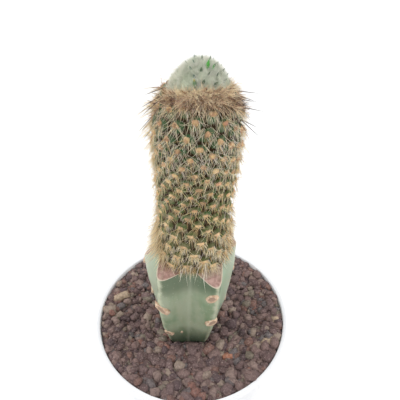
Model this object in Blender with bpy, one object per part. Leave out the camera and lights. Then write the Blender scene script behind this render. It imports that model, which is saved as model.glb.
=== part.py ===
"""A grafted column cactus in a round white pot, as five closed solids in metres.

The pot stands on z = 0 with its axis on Z, and -Y is the side that faces the viewer.
The plant leans a little towards +X, so its pieces hang under one tilted empty whose
origin lies on the plant's own axis at the level of the soil.
"""
import math
import random

import bmesh
import bpy
from mathutils import Matrix, Vector

MM = 0.001
GAP = 0.3 * MM
GOLDEN_ANGLE = math.radians(137.508)

# The pot: a plain tapered pot with a rolled lip, a foot ring and one drain hole.
POT_HEIGHT = 96 * MM
RIM_OUTER_R = 56.2 * MM
RIM_INNER_R = 54.0 * MM
RIM_DEPTH = 5.2 * MM
LIP_ROUND = 0.7 * MM
NECK_OUTER_R = 54.9 * MM
WALL = 1.5 * MM
FOOT_OUTER_R = 39.0 * MM
FOOT_WIDTH = 3.5 * MM
FOOT_HEIGHT = 2.0 * MM
FLOOR_TOP = 4.0 * MM
FLOOR_CHAMFER = 1.0 * MM
DRAIN_R = 6.0 * MM
POT_SIDES = 48
POT_COLOUR = (0.86, 0.87, 0.88)

# The soil: a gritty mix with coarse stones over its whole top.
SOIL_LEVEL = 89.0 * MM
STONE_CEILING = 94.0 * MM
SOIL_SIDES = 24
STONE_COUNT = 98
STONE_R = 5.5 * MM
STONE_RISE = (-0.4 * MM, 0.5 * MM)
STONE_SIZES = (0.85, 1.15)
STONE_DENTS = (0.82, 1.12)
STONE_WIDTHS = (0.85, 1.2)
STONE_DEPTHS = (0.75, 1.0)
STONE_FLATNESS = 0.66
STONE_TIP = 0.35
STONE_RING_INNER = 15.0 * MM
STONE_RING_OUTER = 51.0 * MM
SOIL_COLOUR = (0.16, 0.10, 0.09)

# The plant's stand: the foot of its axis, just under the stones, and its lean to +X.
PLANT_FOOT = Vector((-1.2 * MM, 0.0, 87.0 * MM))
PLANT_LEAN = math.radians(2.5)

# The rootstock: five ribs, narrow at the soil, each cut off aslant at its head.
STOCK_RIBS = 5
STOCK_TURN = math.radians(-4)
STOCK_BURIED = 24 * MM
STOCK_HEIGHT = 72.7 * MM
STOCK_SWELL = (-6 * MM, 58 * MM)
STOCK_RIB_R = (13.5 * MM, 26.0 * MM)
STOCK_VALLEY_R = (12.8 * MM, 17.4 * MM)
STOCK_FLANK_POWER = 1.7
STOCK_CREST_SHARE = 0.07
STOCK_FLANK_SHARES = (0.33, 0.62)
STOCK_LEVELS = tuple(level * MM for level in (-9, 0, 8, 16, 24, 33, 43, 58))
STOCK_CUT_APOTHEM = 15.8 * MM
STOCK_COLOUR = (0.30, 0.40, 0.28)
# Where the knife leaves each rib's crest, and the heights of its old spine scars.
RIB_CUTS = (66 * MM, 62 * MM, 66 * MM, 63 * MM, 60 * MM)
RIB_SCARS = (
    (11 * MM, 45 * MM), (20 * MM, 50 * MM), (14 * MM, 38 * MM), (26 * MM,), (22 * MM, 49 * MM),
)
SCAR_SIZE = (2.6 * MM, 1.5 * MM, 3.4 * MM)
SCAR_SINK = 0.5 * MM
TRIM_TOLERANCE = 0.001 * MM

# The scion: a column of low tubercles in spirals, each with a felted areole.
SCION_BASE = STOCK_HEIGHT + GAP
SCION_TOP = 168 * MM
SHOULDER_START = 152 * MM
SHOULDER_HEIGHT = 25 * MM
SHOULDER_SHARE = 0.7
COLUMN_R = (15.5 * MM, 16.5 * MM)
COLUMN_SWELL = (100 * MM, 146 * MM)
SLOPE_STEP = 0.1 * MM
AREOLE_RISE = 0.545 * MM
NEIGHBOURS = (5, 8, 13)
TUBERCLE_INSET = 1.9 * MM
TUBERCLE_RAISE = 1.5 * MM
FELT_INSET = 0.2 * MM
FELT_RAISE = 0.8 * MM
FELT_LIFT = 0.9 * MM
SCION_COLOUR = (0.10, 0.20, 0.12)

# Spines, rooted in the felt: a few that hang, and in the collar round the head more
# of them, longer, and standing off ever further. The lowest areoles stay bare.
SPINE_R = 0.36 * MM
SPINE_SIDES = 3
SPINE_LENGTH = 8.0 * MM
SPINE_LENGTHS = (0.9, 1.08)
SPINE_SWAY = (-0.12, 0.12)
SPINE_TILTS = (-0.07, 0.1)
SPINE_FAN = (-0.40, 0.40)
SPINE_RISE = math.radians(20)
COLLAR_FAN = (-0.75, -0.25, 0.25, 0.75)
COLLAR_FAN_FROM = 0.15
COLLAR_START = 141 * MM
COLLAR_END = 163 * MM
COLLAR_EXTRA_LENGTH = 3.0 * MM
COLLAR_EXTRA_RISE = math.radians(62)
BARE_FOOT = 4.5 * MM
SKIRT_HEIGHT = 13 * MM
SKIRT_RISE = math.radians(43)
SPINE_ROOT_DEPTH = 0.7 * MM
SPINE_ROOT_DROP = 0.5 * MM
BARE_TOP = 1.4 * MM

# The woolly head: a ball of wool with tufts and small awl-shaped leaves.
WOOL_BASE = SCION_TOP + GAP
WOOL_R = 11.9 * MM
WOOL_CENTRE = Vector((0, 0, 169.0 * MM))
WOOL_COLOUR = (0.74, 0.75, 0.66)


class Growth:
    """Cones set evenly over the wool: how many, how big, and how far they lean up."""

    def __init__(self, count, sides, radius, length, lengths, depth, lift, lowest, start):
        self.count = count
        self.sides = sides
        self.radius = radius
        self.length = length
        self.lengths = lengths
        self.depth = depth
        self.lift = lift
        self.lowest = lowest
        self.start = start


TUFTS = Growth(60, 4, 1.6 * MM, 2.6 * MM, (0.8, 1.15), 1.5 * MM, 0.25, 0.27, 0.0)
LEAVES = Growth(22, 5, 0.8 * MM, 4.0 * MM, (0.85, 1.1), 2.0 * MM, 0.5, 0.15, 0.4)


def clear_scene():
    for obj in list(bpy.data.objects):
        bpy.data.objects.remove(obj, do_unlink=True)


def material(name, colour, roughness, metallic=0.0):
    made = bpy.data.materials.new(name)
    made.use_nodes = True
    shader = made.node_tree.nodes["Principled BSDF"]
    shader.inputs["Base Color"].default_value = (*colour, 1.0)
    shader.inputs["Roughness"].default_value = roughness
    shader.inputs["Metallic"].default_value = metallic
    return made


def object_of(name, bm, finish=None, parent=None, collection=None):
    """Turns a bmesh into an object, in a collection or in the scene."""
    mesh = bpy.data.meshes.new(name)
    bm.to_mesh(mesh)
    bm.free()
    obj = bpy.data.objects.new(name, mesh)
    (collection or bpy.context.scene.collection).objects.link(obj)
    if finish:
        mesh.materials.append(finish)
    obj.parent = parent
    return obj


def smoothstep(low, high, value):
    share = min(1.0, max(0.0, (value - low) / (high - low)))
    return share * share * (3 - 2 * share)


def mix(ends, share):
    return ends[0] + (ends[1] - ends[0]) * share


def around(radius, angle, height):
    """A point at an angle measured from the viewer's side towards +X."""
    return Vector((radius * math.sin(angle), -radius * math.cos(angle), height))


def spun(outline, sides):
    """A closed body of revolution from a closed outline of (radius, height) points."""
    bm = bmesh.new()
    ring = [bm.verts.new((radius, 0, height)) for radius, height in outline]
    edges = [bm.edges.new((a, b)) for a, b in zip(ring, ring[1:] + ring[:1])]
    bmesh.ops.spin(
        bm, geom=ring + edges, cent=(0, 0, 0), axis=(0, 0, 1), angle=math.tau,
        steps=sides, use_merge=True,
    )
    bmesh.ops.recalc_face_normals(bm, faces=bm.faces)
    return bm


def apply_boolean(obj, operation, operand):
    """Applies one Boolean with an object or a collection, and removes what it used."""
    step = obj.modifiers.new(operation.title(), "BOOLEAN")
    step.operation = operation
    step.solver = "MANIFOLD"
    if isinstance(operand, bpy.types.Collection):
        step.operand_type = "COLLECTION"
        step.collection = operand
        used = list(operand.objects)
    else:
        step.object = operand
        used = [operand]
    bpy.context.view_layer.update()
    graph = bpy.context.evaluated_depsgraph_get()
    joined = bpy.data.meshes.new_from_object(obj.evaluated_get(graph))
    obj.modifiers.remove(step)
    obj.data = joined
    for other in used:
        bpy.data.objects.remove(other, do_unlink=True)
    if isinstance(operand, bpy.types.Collection):
        bpy.data.collections.remove(operand)


def helper_collection(name):
    made = bpy.data.collections.new(name)
    bpy.context.scene.collection.children.link(made)
    return made


def wall_outer_r(height):
    """The pot's outer radius below the lip, at a height."""
    return mix((FOOT_OUTER_R, NECK_OUTER_R), height / (POT_HEIGHT - RIM_DEPTH))


def build_pot():
    neck = POT_HEIGHT - RIM_DEPTH
    floor_edge = wall_outer_r(FLOOR_TOP) - WALL
    outline = [
        (DRAIN_R, FOOT_HEIGHT),
        (FOOT_OUTER_R - FOOT_WIDTH, FOOT_HEIGHT),
        (FOOT_OUTER_R - FOOT_WIDTH, 0),
        (FOOT_OUTER_R, 0),
        (NECK_OUTER_R, neck),
        (RIM_OUTER_R, neck + LIP_ROUND),
        (RIM_OUTER_R, POT_HEIGHT - LIP_ROUND),
        (RIM_OUTER_R - LIP_ROUND, POT_HEIGHT),
        (RIM_INNER_R + LIP_ROUND, POT_HEIGHT),
        (RIM_INNER_R, POT_HEIGHT - LIP_ROUND),
        (NECK_OUTER_R - WALL, neck),
        (floor_edge, FLOOR_TOP + FLOOR_CHAMFER),
        (floor_edge - FLOOR_CHAMFER, FLOOR_TOP),
        (DRAIN_R, FLOOR_TOP),
    ]
    finish = material("pot_white", POT_COLOUR, 0.35)
    return object_of("pot", spun(outline, POT_SIDES), finish)


def cone_between(low_r, high_r, low, high, sides):
    """A closed round body that widens from one height to another."""
    bm = bmesh.new()
    bmesh.ops.create_cone(
        bm, cap_ends=True, segments=sides, radius1=low_r, radius2=high_r,
        depth=high - low, matrix=Matrix.Translation((0, 0, (low + high) / 2)),
    )
    return bm


def stone(rng, place, radius, collection):
    """One angular stone: an icosahedron, dented, squashed and turned."""
    bm = bmesh.new()
    bmesh.ops.create_icosphere(bm, subdivisions=1, radius=radius)
    for vert in bm.verts:
        vert.co *= rng.uniform(*STONE_DENTS)
    width, depth = rng.uniform(*STONE_WIDTHS), rng.uniform(*STONE_DEPTHS)
    squash = Matrix.Diagonal((width, depth, STONE_FLATNESS, 1))
    turn = Matrix.Rotation(rng.uniform(0, math.tau), 4, "Z")
    tip = Matrix.Rotation(rng.uniform(-STONE_TIP, STONE_TIP), 4, "X")
    bm.transform(Matrix.Translation(place) @ turn @ tip @ squash)
    object_of("stone", bm, collection=collection)


def build_soil(carrier):
    """The mix fills the pot, and its stones end where the wall and the stem begin."""
    rng = random.Random(11)
    low = FLOOR_TOP + GAP
    top_r = wall_outer_r(STONE_CEILING) - WALL - GAP
    low_r = wall_outer_r(low) - WALL - GAP - FLOOR_CHAMFER
    level_r = mix((low_r, top_r), (SOIL_LEVEL - low) / (STONE_CEILING - low))
    finish = material("gritty_mix", SOIL_COLOUR, 0.95)
    soil = object_of("soil", cone_between(low_r, level_r, low, SOIL_LEVEL, SOIL_SIDES), finish)
    stones = helper_collection("stones")
    for k in range(STONE_COUNT):
        share = (k + 0.5) / STONE_COUNT
        reach = math.sqrt(mix((STONE_RING_INNER ** 2, STONE_RING_OUTER ** 2), share))
        place = around(reach, k * GOLDEN_ANGLE, SOIL_LEVEL + rng.uniform(*STONE_RISE))
        stone(rng, place, STONE_R * rng.uniform(*STONE_SIZES), stones)
    apply_boolean(soil, "UNION", stones)
    room = object_of("room_in_pot", cone_between(low_r, top_r, low, STONE_CEILING, SOIL_SIDES))
    apply_boolean(soil, "INTERSECT", room)
    hole = object_of("stem_hole", stock_body(GAP), parent=carrier)
    apply_boolean(soil, "DIFFERENCE", hole)
    return soil


def stock_point(angle, height, grown=0.0):
    """A point of the five-ribbed stem, grown outwards by a clearance."""
    pitch = math.tau / STOCK_RIBS
    off_crest = abs((angle + pitch) % pitch - pitch / 2) / (pitch / 2)
    low, high = STOCK_SWELL
    left = 1 - min(1.0, max(0.0, (height - low) / (high - low)))
    swell = 1 - left * left
    crest, valley = mix(STOCK_RIB_R, swell), mix(STOCK_VALLEY_R, swell)
    flank = min(1.0, (1 - off_crest) / (1 - STOCK_CREST_SHARE)) ** STOCK_FLANK_POWER
    return around(mix((valley, crest), flank) + grown, angle, height)


def stock_body(grown=0.0):
    """The stem as it grew, before its head is cut, extruded level by level."""
    pitch = math.tau / STOCK_RIBS
    one_side = (STOCK_CREST_SHARE, *STOCK_FLANK_SHARES)
    shares = [-1.0] + [-share for share in reversed(one_side)] + list(one_side)
    angles = [
        rib_angle(rib) + share * pitch / 2 for rib in range(STOCK_RIBS) for share in shares
    ]
    bm = bmesh.new()
    foot = -STOCK_BURIED - grown
    face = bm.faces.new([bm.verts.new(stock_point(angle, foot, grown)) for angle in angles])
    for height in (*STOCK_LEVELS, STOCK_HEIGHT):
        made = bmesh.ops.extrude_face_region(bm, geom=[face])["geom"]
        bmesh.ops.delete(bm, geom=[face], context="FACES_ONLY")
        face = next(item for item in made if isinstance(item, bmesh.types.BMFace))
        for vert in face.verts:
            angle = math.atan2(vert.co.x, -vert.co.y)
            vert.co = stock_point(angle, height, grown)
    bmesh.ops.holes_fill(bm, edges=[edge for edge in bm.edges if edge.is_boundary])
    bmesh.ops.recalc_face_normals(bm, faces=bm.faces)
    return bm


def rib_angle(rib):
    return (rib - 0.5) * math.tau / STOCK_RIBS


def cut_rib(bm, rib):
    """One stroke of the knife, from the flat head down and out through a rib's crest."""
    angle = rib_angle(rib)
    crest = stock_point(angle, RIB_CUTS[rib])
    run = math.hypot(crest.x, crest.y) - STOCK_CUT_APOTHEM
    fall = STOCK_HEIGHT - crest.z
    bmesh.ops.bisect_plane(
        bm, geom=list(bm.verts) + list(bm.edges) + list(bm.faces), plane_co=crest,
        plane_no=around(fall, angle, run).normalized(), clear_outer=True, dist=TRIM_TOLERANCE,
    )
    bmesh.ops.holes_fill(bm, edges=[edge for edge in bm.edges if edge.is_boundary])


def build_rootstock(carrier):
    """The knife bevels the ribs at the head, and corky scars mark their crests."""
    bm = stock_body()
    for rib in range(STOCK_RIBS):
        cut_rib(bm, rib)
    finish = material("stock_green", STOCK_COLOUR, 0.55)
    stock = object_of("rootstock", bm, finish, carrier)
    scars = helper_collection("scars")
    for rib, heights in enumerate(RIB_SCARS):
        for height in heights:
            angle = rib_angle(rib)
            place = Matrix.Translation(stock_point(angle, height, -SCAR_SINK))
            scar = bmesh.new()
            bmesh.ops.create_icosphere(scar, subdivisions=1, radius=1)
            scar.transform(place @ Matrix.Rotation(angle, 4, "Z") @ Matrix.Diagonal((*SCAR_SIZE, 1)))
            object_of("scar", scar, parent=carrier, collection=scars)
    apply_boolean(stock, "UNION", scars)
    return stock


def column_r(height):
    """The scion's radius between its tubercles, at a height."""
    column = mix(COLUMN_R, smoothstep(*COLUMN_SWELL, height))
    over = min(SHOULDER_SHARE, max(0.0, (height - SHOULDER_START) / SHOULDER_HEIGHT))
    return column * math.sqrt(1 - over * over)


def areole_heights():
    """Heights of the areoles, from well below the base to well above the top."""
    spare = 2 * NEIGHBOURS[-1] * AREOLE_RISE
    height = SCION_BASE - spare
    heights = []
    while height < SCION_TOP + spare:
        heights.append(height)
        slope = (column_r(height + SLOPE_STEP) - column_r(height)) / SLOPE_STEP
        height += AREOLE_RISE / math.hypot(1, slope)
    return heights


def lattice_point(index, heights):
    height = heights[index]
    return around(column_r(height), -index * GOLDEN_ANGLE, height)


def valley(indices, heights):
    """The low point between three areoles: the middle of them, on the column."""
    middle = sum((lattice_point(k, heights) for k in indices), Vector()) / 3
    radius = column_r(middle.z)
    return around(radius, math.atan2(middle.x, -middle.y), middle.z)


def scion_body(heights):
    """Six-sided cells round the spiral's points, each raised to a tubercle and a felt
    pad. Returns the bmesh and each pad's centre and outward normal."""
    near, mid, far = NEIGHBOURS
    bm = bmesh.new()
    corners = {}

    def corner(*indices):
        key = tuple(sorted(indices))
        if key not in corners:
            corners[key] = bm.verts.new(valley(key, heights))
        return corners[key]

    cells = []
    for i in range(far, len(heights) - far):
        ring = [
            corner(i, i + near, i + far), corner(i, i + mid, i + far),
            corner(i - near, i, i + mid), corner(i - far, i - near, i),
            corner(i - far, i - mid, i), corner(i - mid, i, i + near),
        ]
        cells.append(bm.faces.new(ring))
    bmesh.ops.recalc_face_normals(bm, faces=bm.faces)
    if cells[0].normal.dot(cells[0].calc_center_median() * Vector((1, 1, 0))) < 0:
        bmesh.ops.reverse_faces(bm, faces=bm.faces)
    bmesh.ops.inset_individual(
        bm, faces=cells, thickness=TUBERCLE_INSET, depth=TUBERCLE_RAISE,
        use_even_offset=True,
    )
    for cell in cells:
        lift = Vector((0, 0, FELT_LIFT)) * math.hypot(cell.normal.x, cell.normal.y)
        bmesh.ops.translate(bm, verts=cell.verts, vec=lift)
    bmesh.ops.inset_individual(
        bm, faces=cells, thickness=FELT_INSET, depth=FELT_RAISE, use_even_offset=True,
    )
    pads = [(cell.calc_center_median(), cell.normal.copy()) for cell in cells]
    return bm, pads


def trim_flat(bm, height, side):
    """Cuts the body level at a height, and closes it there."""
    geometry = list(bm.verts) + list(bm.edges) + list(bm.faces)
    made = bmesh.ops.bisect_plane(
        bm, geom=geometry, plane_co=(0, 0, height), plane_no=(0, 0, side),
        clear_outer=True, dist=TRIM_TOLERANCE,
    )["geom_cut"]
    bmesh.ops.holes_fill(bm, edges=[item for item in made if isinstance(item, bmesh.types.BMEdge)])


def needle(root, direction, length, radius, sides, collection, parent):
    """A slim cone with its base at the root."""
    bm = bmesh.new()
    bmesh.ops.create_cone(bm, cap_ends=True, segments=sides, radius1=radius, radius2=0, depth=length)
    turn = direction.to_track_quat("Z", "Y").to_matrix().to_4x4()
    bm.transform(Matrix.Translation(root) @ turn @ Matrix.Translation((0, 0, length / 2)))
    object_of("needle", bm, parent=parent, collection=collection)


def spine_fan(rng, centre, normal, spines, plant):
    """The spines of one areole, spread like a fan and raised off the stem."""
    side = Vector((0, 0, 1)).cross(normal).normalized()
    up = normal.cross(side)
    collar = smoothstep(COLLAR_START, COLLAR_END, centre.z)
    skirt = 1 - smoothstep(SCION_BASE, SCION_BASE + SKIRT_HEIGHT, centre.z)
    rise = SPINE_RISE + COLLAR_EXTRA_RISE * collar + SKIRT_RISE * skirt
    root = centre - normal * SPINE_ROOT_DEPTH - up * SPINE_ROOT_DROP
    for share in COLLAR_FAN if collar > COLLAR_FAN_FROM else SPINE_FAN:
        turn = share + rng.uniform(*SPINE_SWAY)
        tilt = rise + rng.uniform(*SPINE_TILTS)
        along = side * math.sin(turn) - up * math.cos(turn)
        direction = along * math.cos(tilt) + normal * math.sin(tilt)
        length = SPINE_LENGTH * rng.uniform(*SPINE_LENGTHS) + COLLAR_EXTRA_LENGTH * collar
        needle(root, direction, length, SPINE_R, SPINE_SIDES, spines, plant)


def build_scion(plant):
    rng = random.Random(5)
    bm, pads = scion_body(areole_heights())
    trim_flat(bm, SCION_BASE, -1)
    trim_flat(bm, SCION_TOP, 1)
    finish = material("scion_green", SCION_COLOUR, 0.6)
    scion = object_of("scion", bm, finish, plant)
    spines = helper_collection("spines")
    for centre, normal in pads:
        if SCION_BASE + BARE_FOOT < centre.z < SCION_TOP - BARE_TOP:
            spine_fan(rng, centre, normal, spines, plant)
    apply_boolean(scion, "UNION", spines)
    return scion


def grow(rng, kind, collection, plant):
    """Sets one kind of cone over the wool, evenly from its foot to its crown."""
    for k in range(kind.count):
        rise = mix((kind.lowest, 1.0), (k + 0.5) / kind.count)
        out = around(math.sqrt(1 - rise * rise), kind.start + k * GOLDEN_ANGLE, rise)
        lean = (out + Vector((0, 0, kind.lift))).normalized()
        root = WOOL_CENTRE + out * (WOOL_R - kind.depth)
        length = kind.length * rng.uniform(*kind.lengths)
        needle(root, lean, length, kind.radius, kind.sides, collection, plant)


def build_woolly_head(plant):
    """A ball of wool in the crown of spines, with its tufts and leaf tips standing out."""
    rng = random.Random(3)
    bm = bmesh.new()
    bmesh.ops.create_icosphere(
        bm, subdivisions=3, radius=WOOL_R, matrix=Matrix.Translation(WOOL_CENTRE),
    )
    trim_flat(bm, WOOL_BASE, -1)
    finish = material("wool_white", WOOL_COLOUR, 1.0)
    wool = object_of("woolly_head", bm, finish, plant)
    growth = helper_collection("tufts_and_leaves")
    grow(rng, TUFTS, growth, plant)
    grow(rng, LEAVES, growth, plant)
    apply_boolean(wool, "UNION", growth)
    return wool


def stand(name, place, turn, parent=None):
    """An empty that carries the pieces of the plant."""
    made = bpy.data.objects.new(name, None)
    bpy.context.scene.collection.objects.link(made)
    made.location = place
    made.rotation_euler = turn
    made.parent = parent
    return made


def main():
    clear_scene()
    plant = stand("plant_stand", PLANT_FOOT, (0, PLANT_LEAN, 0))
    stock_stand = stand("stock_stand", (0, 0, 0), (0, 0, STOCK_TURN), plant)
    build_pot()
    build_soil(stock_stand)
    build_rootstock(stock_stand)
    build_scion(plant)
    build_woolly_head(plant)


main()
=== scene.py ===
"""A grafted column cactus in a round white pot, dressed round its packed CAD frame.

The file is laid out as a Blender add-on and run as a script. Every size is in metres and
in the frame's own axes: the pot stands on z = 0 and -Y faces the viewer. The plant leans
a little, so its pieces are shaped upright about its own axis and then set on its stand.
"""
import math
import random

import bmesh
import bpy
from bpy.props import FloatProperty, FloatVectorProperty, IntProperty, PointerProperty
from mathutils import Matrix, Vector, noise


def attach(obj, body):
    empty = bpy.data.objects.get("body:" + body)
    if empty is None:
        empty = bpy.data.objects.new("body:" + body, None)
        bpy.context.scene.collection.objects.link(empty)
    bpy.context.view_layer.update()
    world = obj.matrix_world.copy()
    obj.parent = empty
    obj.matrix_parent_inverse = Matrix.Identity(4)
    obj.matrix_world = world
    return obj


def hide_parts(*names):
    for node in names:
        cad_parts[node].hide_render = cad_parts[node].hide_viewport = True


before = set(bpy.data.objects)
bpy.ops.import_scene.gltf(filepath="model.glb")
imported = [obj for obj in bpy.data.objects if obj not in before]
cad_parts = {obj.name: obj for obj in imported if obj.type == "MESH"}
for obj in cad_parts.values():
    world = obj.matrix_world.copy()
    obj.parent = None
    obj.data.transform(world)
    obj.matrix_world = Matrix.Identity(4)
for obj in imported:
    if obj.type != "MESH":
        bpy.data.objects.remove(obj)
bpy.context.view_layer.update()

bl_info = {
    "name": "Grafted Cactus Dresser",
    "version": (1, 0, 0),
    "blender": (4, 5, 0),
    "location": "View3D > Sidebar > Cactus",
    "description": "Builds the looks of a grafted column cactus in its pot",
    "category": "Add Mesh",
}

MM = 0.001
GOLDEN_ANGLE = math.radians(137.508)
UP = Vector((0, 0, 1))

# Where the plant stands, as in the frame: the foot of its axis, and its lean to +X.
PLANT_FOOT = Vector((-1.2 * MM, 0.0, 87.0 * MM))
PLANT_LEAN = math.radians(2.5)

# The rootstock's ribs, in order round the stem. Each rib's crest is cut at its own
# height, and reaches a little further out or less far than the common radius. Each
# stroke of the knife starts down from the flat top at its own reach.
STOCK_RIBS = 5
RIB_PITCH = math.tau / STOCK_RIBS
STOCK_TURN = math.radians(-4)
RIB_CUTS = (69.8 * MM, 64.5 * MM, 69.5 * MM, 63 * MM, 53 * MM)
RIB_SPREAD = (0.2 * MM, -1.5 * MM, -2.6 * MM, 0.0, 2.0 * MM)
FLAT_TOPS = (18.2 * MM, 15.4 * MM, 16.5 * MM, 16.5 * MM, 16.0 * MM)
CREST_ROUND = 0.3

# The stem widens between two heights, and stands this deep in the mix.
STOCK_SWELL = (-6 * MM, 58 * MM)
STOCK_BURIED = 22 * MM

# Corky scars: the rib, the height in mm, the turn off the crest in degrees, half the
# width and half the height in mm, and the roll in radians.
SCARS = (
    (0, 45, 2, 2.0, 5.6, 0.8), (0, 17, 4, 1.6, 3.0, 1.0), (0, 16, 22, 0.8, 0.8, 0.0),
    (1, 56, -6, 2.7, 3.9, -0.6), (1, 32, -2, 2.6, 3.6, -0.8), (2, 48, 2, 1.9, 3.0, 0.2),
    (2, 22, -2, 1.8, 2.4, 0.1), (3, 45, 3, 2.0, 3.0, 0.4), (3, 20, -2, 1.8, 2.6, -0.3),
    (4, 49, 0, 2.0, 2.8, 0.3), (4, 24, 3, 1.8, 2.8, -0.4),
)

# The areoles stand in pairs, one on each strand of a double spiral. An areole's
# neighbours are three, five and eight levels up or down, and a step of three or of
# eight levels leads to the other strand.
LEVEL_TURN = math.radians(68.78)
FIRST_TURN = math.radians(54.4)
FIRST_LEVEL = 57.3 * MM
NEAR, MIDDLE, FAR = 3, 5, 8

# Heights over the plant's foot between which the column widens: up to its head, and
# down to the graft by a flare. From the shoulder up it closes in, over a depth and to a
# share of that depth.
WIDENS_UP = (100 * MM, 146 * MM)
WIDENS_DOWN = (102 * MM, 78 * MM)
FOOT_FLARE = 0.9 * MM
SHOULDER, SHOULDER_DEPTH, SHOULDER_END = 148 * MM, 26 * MM, 0.8

# Where the spiral's levels draw together, and where they spread again.
LEVELS_CLOSE = (97 * MM, 121 * MM)
LEVELS_SPREAD = (144 * MM, 161 * MM)

# Heights between which an areole counts as young, going up, and as old, going down:
# for its felt, and for its bristles.
FELT_AGES = ((126 * MM, 156 * MM), (104 * MM, 80 * MM))
BRISTLE_AGES = ((118 * MM, 150 * MM), (112 * MM, 84 * MM))

# Share of the pale bristles that stray.
STRAY_SHARE = 0.14

# An areole sits this far out from its cell, and this far above the cell's middle.
SEAT_OUT, SEAT_UP = 2.1 * MM, 1.1 * MM

# One seed for each piece that draws random numbers.
SEEDS = {
    "stones": 29, "cushions": 7, "fuzz": 13, "pale bristles": 17, "skirt": 41,
    "tan spines": 19, "collar spines": 23, "long spines": 53, "collar hairs": 31,
    "wool": 37, "leaves": 43,
}


def tint(red, green, blue):
    """A colour as a painter's 0 to 255 values, made linear for the shaders."""
    def linear(value):
        share = value / 255
        return share / 12.92 if share <= 0.04045 else ((share + 0.055) / 1.055) ** 2.4
    return (linear(red), linear(green), linear(blue))


def length_prop(name, description, default):
    return FloatProperty(
        name=name, description=description, default=default, min=0.0, subtype="DISTANCE",
        unit="LENGTH", precision=5,
    )


def colour_prop(name, description, default):
    return FloatVectorProperty(
        name=name, description=description, default=default, min=0.0, max=1.0, size=3,
        subtype="COLOR",
    )


def count_prop(name, description, default):
    return IntProperty(name=name, description=description, default=default, min=1)


class PotSettings(bpy.types.PropertyGroup):
    """Sizes and colours of the pot"""
    height: length_prop("Height", "From the floor to the top of the lip", 96 * MM)
    rim_outer: length_prop("Rim Outer Radius", "Radius over the lip", 56.2 * MM)
    rim_inner: length_prop("Rim Inner Radius", "Radius inside the lip", 54.0 * MM)
    rim_depth: length_prop("Rim Depth", "Height of the lip's band", 5.2 * MM)
    neck: length_prop("Neck Radius", "Outer radius just under the lip", 54.9 * MM)
    wall: length_prop("Wall", "Thickness of the wall", 1.5 * MM)
    foot: length_prop("Foot Radius", "Outer radius of the foot ring", 39.0 * MM)
    colour: colour_prop("Colour", "The pot's moulded colour", tint(244, 244, 246))


class MixSettings(bpy.types.PropertyGroup):
    """Sizes and colours of the gritty mix"""
    level: length_prop("Level", "Height of the mix between the stones", 89.2 * MM)
    heap: length_prop("Heap", "How much higher the mix lies along the wall", 4.2 * MM)
    stones: count_prop("Stones", "How many stones lie on top", 2700)
    small: length_prop("Small Stone", "Radius of the smallest stones", 0.85 * MM)
    large: length_prop("Large Stone", "Radius of the largest common stones", 2.3 * MM)
    earth: colour_prop("Earth", "The fine earth between the stones", tint(50, 39, 37))


class StockSettings(bpy.types.PropertyGroup):
    """Sizes and colours of the rootstock"""
    height: length_prop("Height", "From the plant's foot to the graft", 72.7 * MM)
    crest_foot: length_prop("Rib Radius At Foot", "Reach of the ribs at the soil", 13.5 * MM)
    crest_head: length_prop("Rib Radius At Head", "Reach of the ribs at the head", 26.0 * MM)
    valley_foot: length_prop("Valley Radius At Foot", "Between ribs, at the soil", 12.8 * MM)
    valley_head: length_prop("Valley Radius At Head", "Between ribs, at the head", 17.4 * MM)
    bloom: colour_prop("Bloom", "Waxy grey-green of the skin", tint(157, 165, 140))
    green: colour_prop("Green", "Deeper green where the bloom is thin", tint(120, 141, 109))
    crest: colour_prop("Crest", "Pale worn crests of the ribs", tint(182, 187, 160))
    flesh: colour_prop("Dried Flesh", "The healed cut", tint(186, 152, 142))


class ScionSettings(bpy.types.PropertyGroup):
    """Sizes and colours of the scion's column"""
    base: length_prop("Base", "Height of the graft on the plant's axis", 73.0 * MM)
    top: length_prop("Top", "Height of the column's head", 168.0 * MM)
    radius: length_prop("Radius", "Between the tubercles, low down", 15.5 * MM)
    head_radius: length_prop("Head Radius", "Between the tubercles, under the head", 17.3 * MM)
    rise: length_prop("Rise", "Climb from level to level, half way up", 0.625 * MM)
    low_rise: length_prop("Rise At Foot", "Climb from level to level, low down", 1.0 * MM)
    head_rise: length_prop("Rise At Head", "Climb from level to level, at the head", 0.93 * MM)
    skin: colour_prop("Skin", "Green of the tubercles", tint(88, 100, 56))
    # Painted shade: the dark brown stands for shade in the grooves between the tubercles.
    groove_shade: colour_prop("Groove", "Dark brown between the tubercles", tint(50, 32, 6))
    felt: colour_prop("Felt", "Wool of the areoles", tint(236, 188, 144))


class SpineSettings(bpy.types.PropertyGroup):
    """Numbers and colours of the spines"""
    bristles: count_prop("Bristles", "Pale bristles in each areole", 23)
    spines: count_prop("Spines", "Tan spines in each areole", 6)
    skirt: count_prop("Skirt", "Bristles that hang over the graft", 1900)
    collar: count_prop("Collar Spines", "Spines in each areole of the collar", 18)
    fleece: count_prop("Collar Hairs", "Fine hairs round the foot of the wool", 5900)
    pale: colour_prop("Pale", "Points of the hanging bristles", tint(244, 236, 212))
    tan: colour_prop("Tan", "Points of the golden-tan spines", tint(216, 176, 106))
    hair: colour_prop("Collar Hair", "Points of the collar's hairs", tint(226, 198, 160))
    tip: colour_prop("Tip", "Dark points of the collar's spines", tint(48, 36, 38))


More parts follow.
